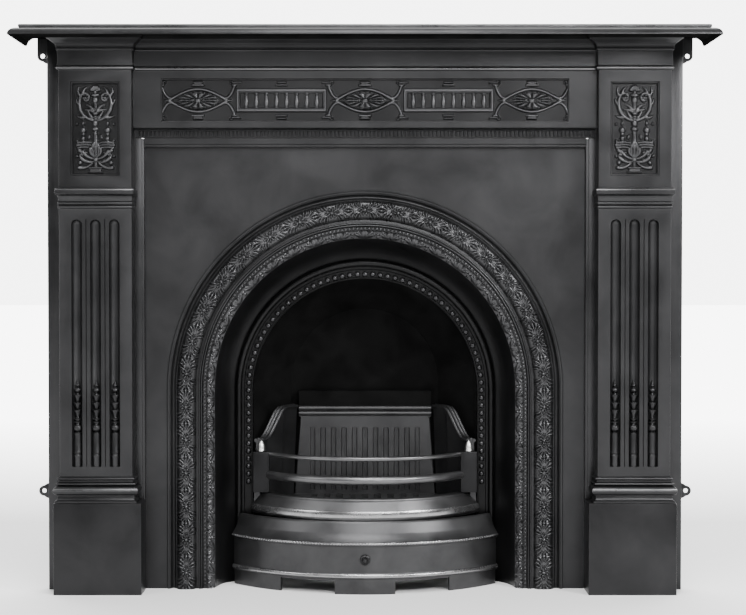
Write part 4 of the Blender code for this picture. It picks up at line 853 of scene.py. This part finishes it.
def friezeBody():
    half, between = leg["inner"] - 2 * hairline, leg["inner"] - leg["lap"] - hairline
    bottom, lintel, proud, band = frieze["lintelBottom"], leg["flangeProud"], frieze["proud"], frieze["bandProud"]
    bandBottom, bandTop = frieze["bandBottom"], frieze["bandBottom"] + frieze["bandHeight"]
    sill = inMm([(0, -1.2), (1.2, 0), (5, 0), (6, 1.8), (7, 2.5)], (bottom, lintel))
    levels = [(z, between, reach) for z, reach in sill + [(bandBottom, lintel + leg["fillet"])]]
    face = [(bandBottom + 0.6 * mm, band - 4 * mm), (bandTop - 3 * mm, band - 4 * mm)]
    face += hollow(bandTop - 2.6 * mm, band - 2 * mm, bandTop, proud - 2 * mm, 6)
    face += inMm([(0.6, -0.4), (1.4, 0)], (bandTop, proud))
    levels += [(z, half, reach) for z, reach in face]
    levels += [(z, half - reach, proud + reach) for z, reach in upperMoulding()]
    rows = [[(-x, -y, z), (x, -y, z), (x, plateThickness, z), (-x, plateThickness, z)] for z, x, y in levels]
    beyond, inner = half + 10 * mm, half - frieze["wall"]
    cutters = [block("plate notch", (-beyond, -hairline, bottom - 10 * mm), (beyond, beyondBack, leg["notchTop"])),
               block("pocket", (-inner, -proud + frieze["frontWall"], bandTop + 8 * mm),
                     (inner, beyondBack, leg["height"] - frieze["wall"]))]
    levels = [(y - proud, inset) for y, inset in inMm([(-2, -0.6), (2.6, 1.2), (2.8, 2.4)])]
    levels.append((frieze["panelDepth"] - proud, 3.4 * mm))
    cutters.append(panelCutter(0.0, frieze["panelWidth"], frieze["panelBottom"], frieze["panelTop"], levels))
    return carved("frieze", skinned("frieze", rows), cutters)


def friezeHeight(x, y):
    # Daisies in pointed ovals, with tablets and crossing ribbons, and sunk frames between them
    spacing = frieze["eyeSpacing"] / mm
    eyeX = np.abs(x - spacing * np.clip(np.round(x / spacing), -1, 1))
    frameX = np.abs(np.abs(x) - spacing / 2)
    y = np.abs(y)
    lift = 23.5 * np.cos(np.clip(eyeX / 62, 0, 1) * pi / 2) ** 1.05
    ring = (y - lift) / (3.3 + 0.9 * (eyeX > 45))
    oval = 5.4 * np.clip(1 - ring * ring, 0, 1) ** 0.6 * (eyeX < 62)
    bow = (y - lift + 5.4) / 1.2
    reed = 2.6 * np.clip(1 - bow * bow, 0, 1) ** 0.6 * (eyeX < 46)
    turn, out = np.arctan2(y / 17.0, eyeX / 42.0), np.hypot(y / 17.0, eyeX / 42.0)
    petals = np.abs(np.cos(turn * 7)) ** 0.8 * np.clip((out - 0.10) / 0.25, 0, 1) * np.clip((1.0 - out) / 0.14, 0, 1)
    # Tablets over the ovals, and ribbons that part from the tips and end in volute tablets
    strokes = [frond((56, 5), (68, 4), (76, 30), (3.0, 3.2), 5.2, 9), ([(60, 0), (70, 0)], [3.4, 1.6], 4.4),
               scroll((69, 36.5), (4.0, 1.6), 0.2, 1.5 * pi, (1.6, 1.3), 4.4, 10)]
    tablets = [((0, 31.4), (27, 4.4), 5.4), ((0, 37.6), (22, 4.4), 5.4), ((0, 34.5), (18, 12), 3.6),
               ((80, 36.5), (20, 4.2), 5.0), ((76, 31.5), (13, 4.4), 4.4)]
    relief = np.maximum.reduce([highest(eyeX, y, strokes, [((0, 0), (7.0, 6.0), 6.4)], tablets), oval, reed,
                                 4.4 * petals])
    # Frames with a moulded border, then a plain field for the balusters
    inside = np.minimum(94 - frameX, 24 - y)
    keep = frameX < 96
    relief[keep & (inside > 0)] = 0
    border = 6.0 * np.clip(inside, 0, 1) * np.clip(6.0 - inside, 0, 1) * keep
    step = 3.4 * np.clip((inside - 5) / 0.8, 0, 1) * np.clip((9.0 - inside) / 1.4, 0, 1) * keep
    frames = highest(frameX, y, tablets=[((0, 31.5), (25, 4.2), 4.8), ((0, 37.5), (20, 4.2), 4.8)])
    return np.maximum.reduce([relief, border, step, frames]) + 0.3


def makeFrieze():
    ground = frieze["panelDepth"] - frieze["proud"]
    width, height = frieze["panelWidth"] / mm - 6.4, (frieze["panelTop"] - frieze["panelBottom"]) / mm - 6.4
    relief = reliefMesh("frieze relief", width, height, 1.1, friezeHeight)
    stoodUp(relief, 0, ground, friezeMiddle)
    vase = [(0, -15.5), (4.4, -15.5), (4.6, -13.8), (2.9, -13), (3.2, -11.5), (5.2, -7.5), (5.6, -4), (4.5, 1),
            (3.1, 6), (2.9, 9.5), (4.3, 10.6), (4.4, 12), (3.3, 12.8), (4.6, 13.8), (4.6, 15.5), (0, 15.5)]
    baluster = turned("baluster", inMm(vase), 14, alongY=1)
    rows = [straightRow("balusters", baluster, side * frieze["eyeSpacing"] / 2, ground - 0.6 * mm, friezeMiddle,
                        frieze["balusters"], frieze["balusterPitch"], 5 * mm, satinBlack) for side in (-1, 1)]
    dentil = block("dentil", (-2.6 * mm, -5.6 * mm, -1 * mm), (2.6 * mm, 5.6 * mm, 4 * mm), 0.7 * mm)
    reach = leg["inner"] - 8 * mm
    count = round(2 * reach / frieze["dentilPitch"])
    bandMiddle = frieze["bandBottom"] + frieze["bandHeight"] / 2 - 1.2 * mm
    dentils = straightRow("dentils", dentil, 0.0, -frieze["bandProud"] + 4 * mm, bandMiddle, count, 2 * reach / count,
                          reach / count, satinBlack)
    casting = addPiece("frieze_casting", [friezeBody()], satinBlack, ["frieze"], 26)
    finishCornice(casting)
    # Painted shade on the panel's ground and painted highlight on the ornament's crests
    reliefShadedIron = castIron("Satin black cast iron, carved frieze", satinLook, ground, ground - 6 * mm)
    addPiece("frieze_ornament", [relief, dentils] + rows, reliefShadedIron, (), 40)


# Shelf

shelf = lengths(plate=8, noseHeight=16, noseDepth=18, lip=5, corner=1.5)


def makeShelf():
    low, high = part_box("mantel_shelf")
    half, top, front, depth = high[0], high[2], low[1] - plateFront, shelf["noseDepth"]
    ceiling = top - shelf["plate"]
    nose, fascia = ceiling - shelf["noseHeight"], ceiling + 2 * mm
    outline = [(nose, 1.0 * mm)] + hollow(nose + 1.2 * mm, 0.0, ceiling, depth, 12)
    outline += inMm([(-1.4, 2.6), (-0.6, 2.6), (0, 0.8)], (fascia, depth))
    outline += inMm([(-2, 0.6), (-0.6, 1.4), (0, 3.6)], (top, depth))
    inside = inMm([(-10, 0), (0, 0), (9, 4)], (nose, shelf["lip"]))
    inside += inMm([(-1.5, 11), (0, 16)], (ceiling, shelf["lip"]))

    def stacked(name, levels, back):
        return skinned(name, [roundedRectangle(z, inset - half, half - inset, front + inset, back, shelf["corner"])
                              for z, inset in levels])

    body = carved("shelf", stacked("shelf", outline, plateThickness), [stacked("hollow", inside, beyondBack)])
    piece = addPiece("shelf_casting", [body], satinBlack, ["mantel_shelf"], 18)
    # Faces turned down take the near-black finish: painted shade under the shelf
    finishWhere(piece, sootAndShadeIron, lambda polygon: polygon.normal.z < -0.05)
    # Painted highlight along the arris over the nose
    finishWhere(piece, rubbedEdge, lambda polygon: polygon.center.z > fascia and polygon.normal.z < 0.9)


# Fixing lugs

lug = lengths(holeX=12, radius=11, hole=4.8, countersink=6.2, top=1162)


def makeLugs():
    for node in ("left_lower_lug", "left_upper_lug", "right_lower_lug", "right_upper_lug"):
        low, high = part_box(node)
        isRight, isUpper = low[0] > 0, "upper" in node
        start, middleZ = (low[0] if isRight else -high[0]), (low[2] + high[2]) / 2
        centre, radius, half = start + lug["holeX"], lug["radius"], (high[2] - low[2]) / 2
        outline = [(start + (centre - start) * t, -half + (half - radius) * t * t) for t in (0, 0.4, 0.75)]
        ending = [(x, -z) for x, z in outline[::-1]]
        if isUpper:  # runs on up to the shelf as a strip
            ending = [(centre + radius, lug["top"] - middleZ), (start, lug["top"] - middleZ)]
        outline += arcPoints((centre, 0), (radius, radius), -pi / 2, pi / 2 if isUpper else pi, 10 if isUpper else 20)
        back, front = high[1] - plateFront, low[1] - plateFront
        rows = []
        for y, shrink in ((back, 0), (front + 0.8 * mm, 0), (front + 0.2 * mm, 0.35 * mm), (front, 1.0 * mm)):
            rows.append([(x - max(0.0, x - centre) * shrink / radius, y, middleZ + z * (1 - shrink / half))
                         for x, z in outline + ending])
        hole, sink = lug["hole"], lug["countersink"]
        drill = [(0, -10 * mm), (hole, -10 * mm), (hole, -5.2 * mm), (sink, -3.6 * mm), (sink, 3 * mm), (0, 3 * mm)]
        mesh = carved(node, skinned(node, rows), [turned("hole", drill, 28, (centre, 0.4 * mm, middleZ), -1)])
        addPiece(node + "_casting", [mesh if isRight else flippedX(mesh)], satinBlack, [node], 26)


# Fire: hood, back and cheeks

fire = lengths(
    backDepth=212, hoodTop=588, backHalf=163, panelThickness=20, panelBottom=150, panelTop=350, panelTopWidth=288,
    panelBottomWidth=318, railTop=406, railWidth=294, slotPitch=23.4, slotWidth=11, slotBottom=185, slotTop=325,
    cheekFront=309, cheekTop=374, cheekThickness=12, railOverhang=4.5, reedRise=4.2, railSink=9)
fire["slots"] = 11
panelFront = fire["backDepth"] - hairline - fire["panelThickness"]


def makeFirebox():
    mouth, spring, half = lipOuter + hairline, springAt(lipOuter), fire["backHalf"]
    start, end = lipBack + 4 * mm, fire["backDepth"]
    hoops = [hoop(mouth, spring, ringBack + hairline, 0.0, 72)]
    for share in shares(5):
        height = spring + (fire["hoodTop"] - half - spring) * share
        hoops.append(hoop(mouth + (half - mouth) * share, height, start + (end - start) * share, 0.0, 72))
    bm = bmesh.new()
    bm.faces.new(joinedRows(bm, hoops, False)[-1])

    def thicken(holder):
        modifier = holder.modifiers.new("Wall", "SOLIDIFY")
        modifier.thickness = arch["wall"] - 0.2 * mm
        modifier.offset = 1.0
        modifier.use_even_offset = True

    shell = evaluated("firebox", settled("firebox", bm), thicken)
    # Inside of the fire: sooted, and darker still as painted shade
    addPiece("firebox_casting", [shell], sootAndShadeIron, ["firebox"], 30)


def makeFireBack():
    front, back, top, bottom = panelFront, fire["backDepth"] - hairline, fire["panelTop"], fire["panelBottom"]
    low, high = fire["panelBottomWidth"] / 2, fire["panelTopWidth"] / 2
    rows = []
    for y, shrink in ((front, 2 * mm), (front + 1.2 * mm, 0.5 * mm), (front + 3 * mm, 0), (back, 0)):
        lower, upper = low - shrink, high - shrink
        rows.append([(-lower, y, bottom), (lower, y, bottom), (upper, y, top), (-upper, y, top)])
    half, tall = fire["slotWidth"] / 2, fire["slotTop"] - fire["slotBottom"]
    outline = [(-half, 0), (half, 0)] + arcPoints((0, tall - half), (half, half), 0, pi, 8)
    levels = ((-6.5, 0.8), (0.2, 1.12), (8, 1.12))
    slot = skinned("slot", [[(x * widen, y, z * mm) for x, y in outline] for z, widen in levels])
    slots = straightRow("slots", slot, 0.0, front, fire["slotBottom"], fire["slots"], fire["slotPitch"], 5 * mm,
                        sootAndShadeIron)
    panel = carved("fire back", skinned("fire back", rows), [slots])
    # Two reeds over the panel, and a plain band over them
    profile = inMm([(-2, 1)] + roundBead(0, 11, 1, 6) + roundBead(11.5, 11, 1, 6), (top, 0.0))
    reeds = [(front - reach, z) for z, reach in profile] + [(back, top + 23 * mm), (back, top - 2 * mm)]
    half, low, high = fire["railWidth"] / 2, top + 22.8 * mm, fire["railTop"]
    band = [(front - 0.4 * mm, low), (front - 0.4 * mm, high - 4 * mm), (front + 0.8 * mm, high - 1 * mm),
            (front + 3 * mm, high), (back, high), (back, low)]
    addPiece("fire_back_casting", [panel, acrossX("rail", reeds, half)], hearthDark, ["fire_back"], 30)
    # The band over the reeds takes the near-black finish as painted shade
    addPiece("fire_back_band", [acrossX("band", band, half)], sootAndShadeIron)


def makeCheeks():
    # A splayed plate with a rail of three reeds along its swan-necked top
    frontY, backY = arch["beadBandDepth"] - 5.2 * mm, panelFront - hairline
    thick, overhang, bottomZ = fire["cheekThickness"], fire["railOverhang"], fire["panelBottom"]
    topFront, topBack = bars["postX"], fire["railWidth"] / 2 + overhang + hairline
    bottomFront, bottomBack = bars["postX"] + 6 * mm, fire["panelBottomWidth"] / 2 + 1 * mm
    width = thick + 2 * overhang
    rows = []
    for share in shares(32):
        y = frontY + (backY - frontY) * share
        top, bottom = topFront + (topBack - topFront) * share, bottomFront + (bottomBack - bottomFront) * share
        climb = min(1.0, max(0.0, (share - 0.08) / 0.60))
        z = fire["cheekFront"] + (fire["cheekTop"] - fire["cheekFront"]) * climb * climb * (3 - 2 * climb)
        under = z - fire["railSink"]
        section = [(bottom, bottomZ), (bottom + thick, bottomZ), (top + thick, under)]
        for k, sunk in enumerate((3.52 * mm, 1.6 * mm, 3.52 * mm)):  # the middle reed stands highest
            centre = (top + thick + overhang - width * (k + 0.5) / 3, z - sunk)
            section += arcPoints(centre, (width / 6, fire["reedRise"]), 0, pi, 6)
        rows.append([(x, y, height) for x, height in section + [(top, under)]])
    cheek = skinned("cheek", rows)
    addPiece("right_cheek_casting", [cheek], hearthDark, ["right_cheek"], 38)
    addPiece("left_cheek_casting", [flippedX(cheek)], hearthDark, ["left_cheek"], 38)


# Bars, ledge and ash-pan cover

bars = lengths(postX=223.5, postWidth=35, postThickness=18, postFront=62, postTop=283, bow=108,
               thinZ=278, thinRadius=4.6, thickZ=233, thickRadius=9.2, finialRadius=8.4)
ledge = lengths(outerHalfChord=248, outerBow=134, innerHalfChord=198, innerBow=106, endGap=5.58, top=195, bottom=150,
                grate=165)
cover = lengths(halfChord=282, end=60, bow=128, thickness=6, bottom=28, faceTop=108, rimRun=16, rimTop=149.7, foot=126,
                sideFoot=177, bossRadius=11, bossZ=72, notchPitch=6.4)


def bowPoint(halfChord, endY, bow, share):
    # A point on a shallow arc bowed to the room, from share -1 to 1, and the way out from it
    radius = (halfChord ** 2 + bow ** 2) / (2 * bow)
    turn = share * math.asin(halfChord / radius)
    return radius * sin(turn), endY - bow + radius * (1 - cos(turn)), sin(turn), -cos(turn)


def makeBars():
    halfWidth = bars["postWidth"] / 2
    half, endY = bars["postX"] - halfWidth, bars["postFront"] + bars["postThickness"] / 2
    meshes = []
    for label in ("thin", "thick"):
        line = [bowPoint(half, endY, bars["bow"], 2 * share - 1) for share in shares(48)]
        points = [(x * 1.015, y, bars[label + "Z"]) for x, y, *way in line]  # the ends reach into the posts
        meshes.append(rod(label + " bar", points, bars[label + "Radius"]))
    addPiece("front_bars_rods", meshes, barIron, ["front_bars"], 30)
    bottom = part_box("front_bars")[0][2]
    meshes = []
    for x in (-bars["postX"], bars["postX"]):
        high = (x + halfWidth, bars["postFront"] + bars["postThickness"], bars["postTop"])
        meshes.append(block("post", (x - halfWidth, bars["postFront"], bottom), high, 1.6 * mm))
    # The posts take a darker copy of the satin black: painted shade
    addPiece("front_bars_posts", meshes, shadedPostIron, (), 30)
    # (share of the radius, share of the height)
    profile = [(0, 0), (0.80, 0), (0.96, 0.03), (1.0, 0.08), (0.97, 0.13), (0.90, 0.16), (0.93, 0.24), (0.94, 0.34),
               (0.90, 0.46), (0.80, 0.60), (0.66, 0.74), (0.48, 0.86), (0.27, 0.95), (0.12, 0.99), (0, 1)]
    for side in ("left", "right"):
        low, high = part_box(side + "_finial")
        points = [(bars["finialRadius"] * r, (high[2] - low[2]) * t) for r, t in profile]
        centre = ((low[0] + high[0]) / 2, (low[1] + high[1]) / 2 - plateFront, low[2])
        addPiece(side + "_finial_turning", [turned("finial", points, 32, centre)], buffedNickel,
                 [side + "_finial"], 50)


def makeLedge():
    end = arch["beadBandDepth"] - ledge["endGap"]
    top, bottom, grate = ledge["top"], ledge["bottom"], ledge["grate"]
    drop = top - bottom
    # (share of the way out, height): flat top, fillet, slope and rounded nose
    section = [(0.0, grate), (0.0, top - 1 * mm), (0.03, top), (0.46, top - 0.6 * mm), (0.50, top - 1.2 * mm)]
    section += hollow(0.50, top - drop * 0.03, 0.57, top - drop * 0.15, 6) + [(0.60, top - drop * 0.19)]
    section += [(0.88, top - drop * 0.52)] + arcPoints((0.90, top - drop * 0.77), (0.10, drop * 0.22), pi / 2, -pi, 8)
    section += [(0.93, bottom), (0.60, bottom), (0.45, grate)]
    rows = []
    for share in shares(60):
        outerX, outerY = bowPoint(ledge["outerHalfChord"], end, ledge["outerBow"], 2 * share - 1)[:2]
        innerX, innerY = bowPoint(ledge["innerHalfChord"], end, ledge["innerBow"], 2 * share - 1)[:2]
        rows.append([(innerX + (outerX - innerX) * r, innerY + (outerY - innerY) * r, z) for r, z in section])
    piece = addPiece("front_ledge_casting", [skinned("ledge", rows)], burnishedIron, ["front_ledge"], 30)
    # Worn bright and painted highlight along the ledge's nose
    finishWhere(piece, wornAndHighlightedEdge, isBetween([(top - drop * 0.86, top - drop * 0.54)]))


def coverPoint(share):
    return bowPoint(cover["halfChord"], cover["end"], cover["bow"], share)


def bowedStrip(name, section, start, stop, steps):
    # A section of (reach, height), drawn along the cover's bow
    rows = []
    for share in shares(steps):
        x, y, outX, outY = coverPoint(start + (stop - start) * share)
        rows.append([(x + outX * reach, y + outY * reach, z) for reach, z in section])
    return skinned(name, rows)


def makeCover():
    inner, bottom, top = -cover["thickness"], cover["bottom"], cover["faceTop"]
    run, rimTop = cover["rimRun"], cover["rimTop"]
    section = [(0.0, bottom), (0.0, bottom + 3.4 * mm)]
    section += [(reach, z) for z, reach in roundBead(bottom + 4 * mm, 11 * mm, 0.6 * mm, 4.2 * mm)]
    section += [(0.0, bottom + 16 * mm), (0.0, top - 9 * mm)]
    section += inMm([(3.4, -7.5), (3.4, -4), (5.4, -3.6), (6.0, -2.2), (5.4, -0.6), (4.2, 0)], (0.0, top))
    section += [(-run * 0.40, top + 16 * mm), (-run * 0.52, top + 19 * mm), (-run + 2 * mm, top + 37 * mm)]
    section += inMm([(0, -1), (-1.5, 0), (-7, 0)], (-run, rimTop)) + [(inner, top - 6 * mm), (inner, bottom)]
    meshes = [bowedStrip("cover", section, -1, 1, 72)]
    foot = [(0.4 * mm, 0.0), (1.0 * mm, 1 * mm), (1.0 * mm, bottom + 4 * mm), (inner + 1 * mm, bottom + 4 * mm),
            (inner + 1 * mm, 0.0)]
    radius = (cover["halfChord"] ** 2 + cover["bow"] ** 2) / (2 * cover["bow"])
    full = math.asin(cover["halfChord"] / radius)
    middle, side = math.asin(cover["foot"] / 2 / radius) / full, math.asin(cover["sideFoot"] / radius) / full
    for start, stop in ((-0.99, -side), (-middle, middle), (side, 0.99)):
        meshes.append(bowedStrip("foot", foot, start, stop, 12))
    # (share of the radius, millimetres out)
    profile = [(0, -4), (1.0, -4), (1.0, 4.5), (0.95, 6.2), (0.84, 7.0), (0.72, 6.8), (0.66, 5.2), (0.56, 5.2),
               (0.50, 7.8), (0.34, 9.6), (0, 10.2)]
    centre = (0, cover["end"] - cover["bow"], cover["bossZ"])
    boss = turned("boss", [(cover["bossRadius"] * r, out * mm) for r, out in profile], 36, centre, -1)
    addPiece("ash_pan_cover_boss", [boss], satinBlack)
    # Beads cut along the rim's nosing: Z stays up here, so the motif's -Y points out of the bow
    notch = block("notch", (-2.1 * mm, -7.6 * mm, -1.9 * mm), (2.1 * mm, -2 * mm, 1.9 * mm), 0.7 * mm)
    length, pitch = 2 * full * radius, cover["notchPitch"]
    path = [(*coverPoint(2 * share - 1)[:2], 0.0) for share in shares(96)]
    count, start = round(length * 0.96 / pitch), length * 0.02
    notches = motifRow("notches", notch, path, count, pitch, start, burnishedIron, (0, 0, 1))
    notches.transform(Matrix.Translation((0, 0, top - 2.4 * mm)))
    piece = addPiece("ash_pan_cover_casting", meshes + [notches], coverIron, ["ash_pan_cover"], 30)
    # Worn bright and painted highlight on the rim's nosing and the bottom bead
    nosing, bead = (top - 5 * mm, top + 0.5 * mm), (bottom + 7 * mm, bottom + 14.5 * mm)
    finishWhere(piece, wornAndHighlightedEdge, isBetween([nosing, bead]))


def finishGrate():
    # The grate keeps its solid and takes the fire-darkened finish
    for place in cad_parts["bottom_grate"].material_slots:
        place.material = hearthDark


for make in (makeArchedPlate, makeLegs, makeFrieze, makeShelf, makeLugs, makeFirebox, makeFireBack, makeCheeks,
             makeBars, makeLedge, makeCover, finishGrate):
    make()
print("castings done")

# Studio

# Metres and degrees of the camera fitted to the photograph, and strengths of the white round the object
studio = {"distance": 3.5, "eyeHeight": 0.67, "downDegrees": 1.226, "focalPixels": 1659, "frameWidth": 746,
          "shift": 0.0107, "floor": "#f4f4f4", "floorGlow": 6.0, "behind": 6.0, "front": 0.07, "above": 1.4,
          # Each light's place, aim, size in metres and power in watts
          "lights": (((2.5, -2.3, 2.3), (0.1, 0, 0.6), 0.9, 105),  # key, high on the right
                     ((-2.6, -1.9, 2.1), (-0.1, 0, 0.6), 0.9, 27),  # weaker, from the left
                     ((0.1, -3.5, 2.9), (0.1, 0, 0.5), 1.5, 68),  # broad, over the camera
                     ((1.15, -3.3, 2.0), (0.56, 0, 0.6), 0.6, 30),  # on the right leg
                     ((0, -1.1, 2.7), (0, -0.1, 0.5), 0.9, 42),  # from above, along the nosings
                     ((-0.2, -3.9, 1.55), (0, 0, 1.0), 0.8, 8))}  # low, on the shelf and frieze


def makeFloor():
    bpy.ops.mesh.primitive_plane_add(size=60, location=(0, 0, 0))
    floor = bpy.context.object
    floor.name = "studio_floor"
    paint = bpy.data.materials.new("Matt white studio floor")
    paint.use_nodes = True
    tree = paint.node_tree
    shader = tree.nodes["Principled BSDF"]
    shader.inputs["Base Color"].default_value = linear(studio["floor"])
    shader.inputs["Roughness"].default_value = 0.9
    # Paper that runs back from the object grows brighter, as if lit on its own, until it meets the white behind
    place = addNode(tree, "ShaderNodeTexCoord")
    split = addNode(tree, "ShaderNodeSeparateXYZ", {"Vector": place.outputs["Object"]})
    glow = addNode(tree, "ShaderNodeMapRange", {"From Min": 0.9, "From Max": 4.0, "To Min": 0.0,
                                                "To Max": studio["floorGlow"], "Value": split.outputs["Y"]})
    shader.inputs["Emission Color"].default_value = linear("#ffffff")
    tree.links.new(glow.outputs[0], shader.inputs["Emission Strength"])
    floor.data.materials.append(paint)


def makeWorld():
    # White paper behind the object, a dim room in front of it, and a pale ceiling
    world = bpy.data.worlds.new("Studio")
    bpy.context.scene.world = world
    world.use_nodes = True
    tree = world.node_tree
    sky = tree.nodes["Background"]
    place = addNode(tree, "ShaderNodeTexCoord")
    split = addNode(tree, "ShaderNodeSeparateXYZ", {"Vector": place.outputs["Generated"]})
    back = addNode(tree, "ShaderNodeMapRange", {"From Min": 0.15, "From Max": 0.75, "To Min": studio["front"],
                                                "To Max": studio["behind"], "Value": split.outputs["Y"]})
    over = addNode(tree, "ShaderNodeMapRange", {"From Min": 0.45, "From Max": 0.95, "To Min": 0.0,
                                                "To Max": studio["above"], "Value": split.outputs["Z"]})
    both = addNode(tree, "ShaderNodeMath", {"operation": "MAXIMUM", 0: back.outputs[0], 1: over.outputs[0]})
    tree.links.new(both.outputs[0], sky.inputs["Strength"])
    sky.inputs["Color"].default_value = linear("#ffffff")


def makeLightsAndCamera():
    collection = bpy.context.scene.collection
    for place, aim, size, power in studio["lights"]:
        light = bpy.data.lights.new("soft box", "AREA")
        light.size = size
        light.energy = power
        lamp = bpy.data.objects.new("soft box", light)
        lamp.location = place
        lamp.rotation_euler = (Vector(aim) - Vector(place)).to_track_quat("-Z", "Y").to_euler()
        collection.objects.link(lamp)
    lens = bpy.data.cameras.new("camera")
    lens.sensor_width = 36
    lens.lens = studio["focalPixels"] / studio["frameWidth"] * 36
    lens.shift_x = studio["shift"]
    camera = bpy.data.objects.new("camera", lens)
    camera.location = (0, plateFront - studio["distance"], studio["eyeHeight"])
    camera.rotation_euler = (math.radians(90 - studio["downDegrees"]), 0, 0)
    collection.objects.link(camera)
    bpy.context.scene.camera = camera


makeFloor()
makeWorld()
makeLightsAndCamera()
print("studio done")
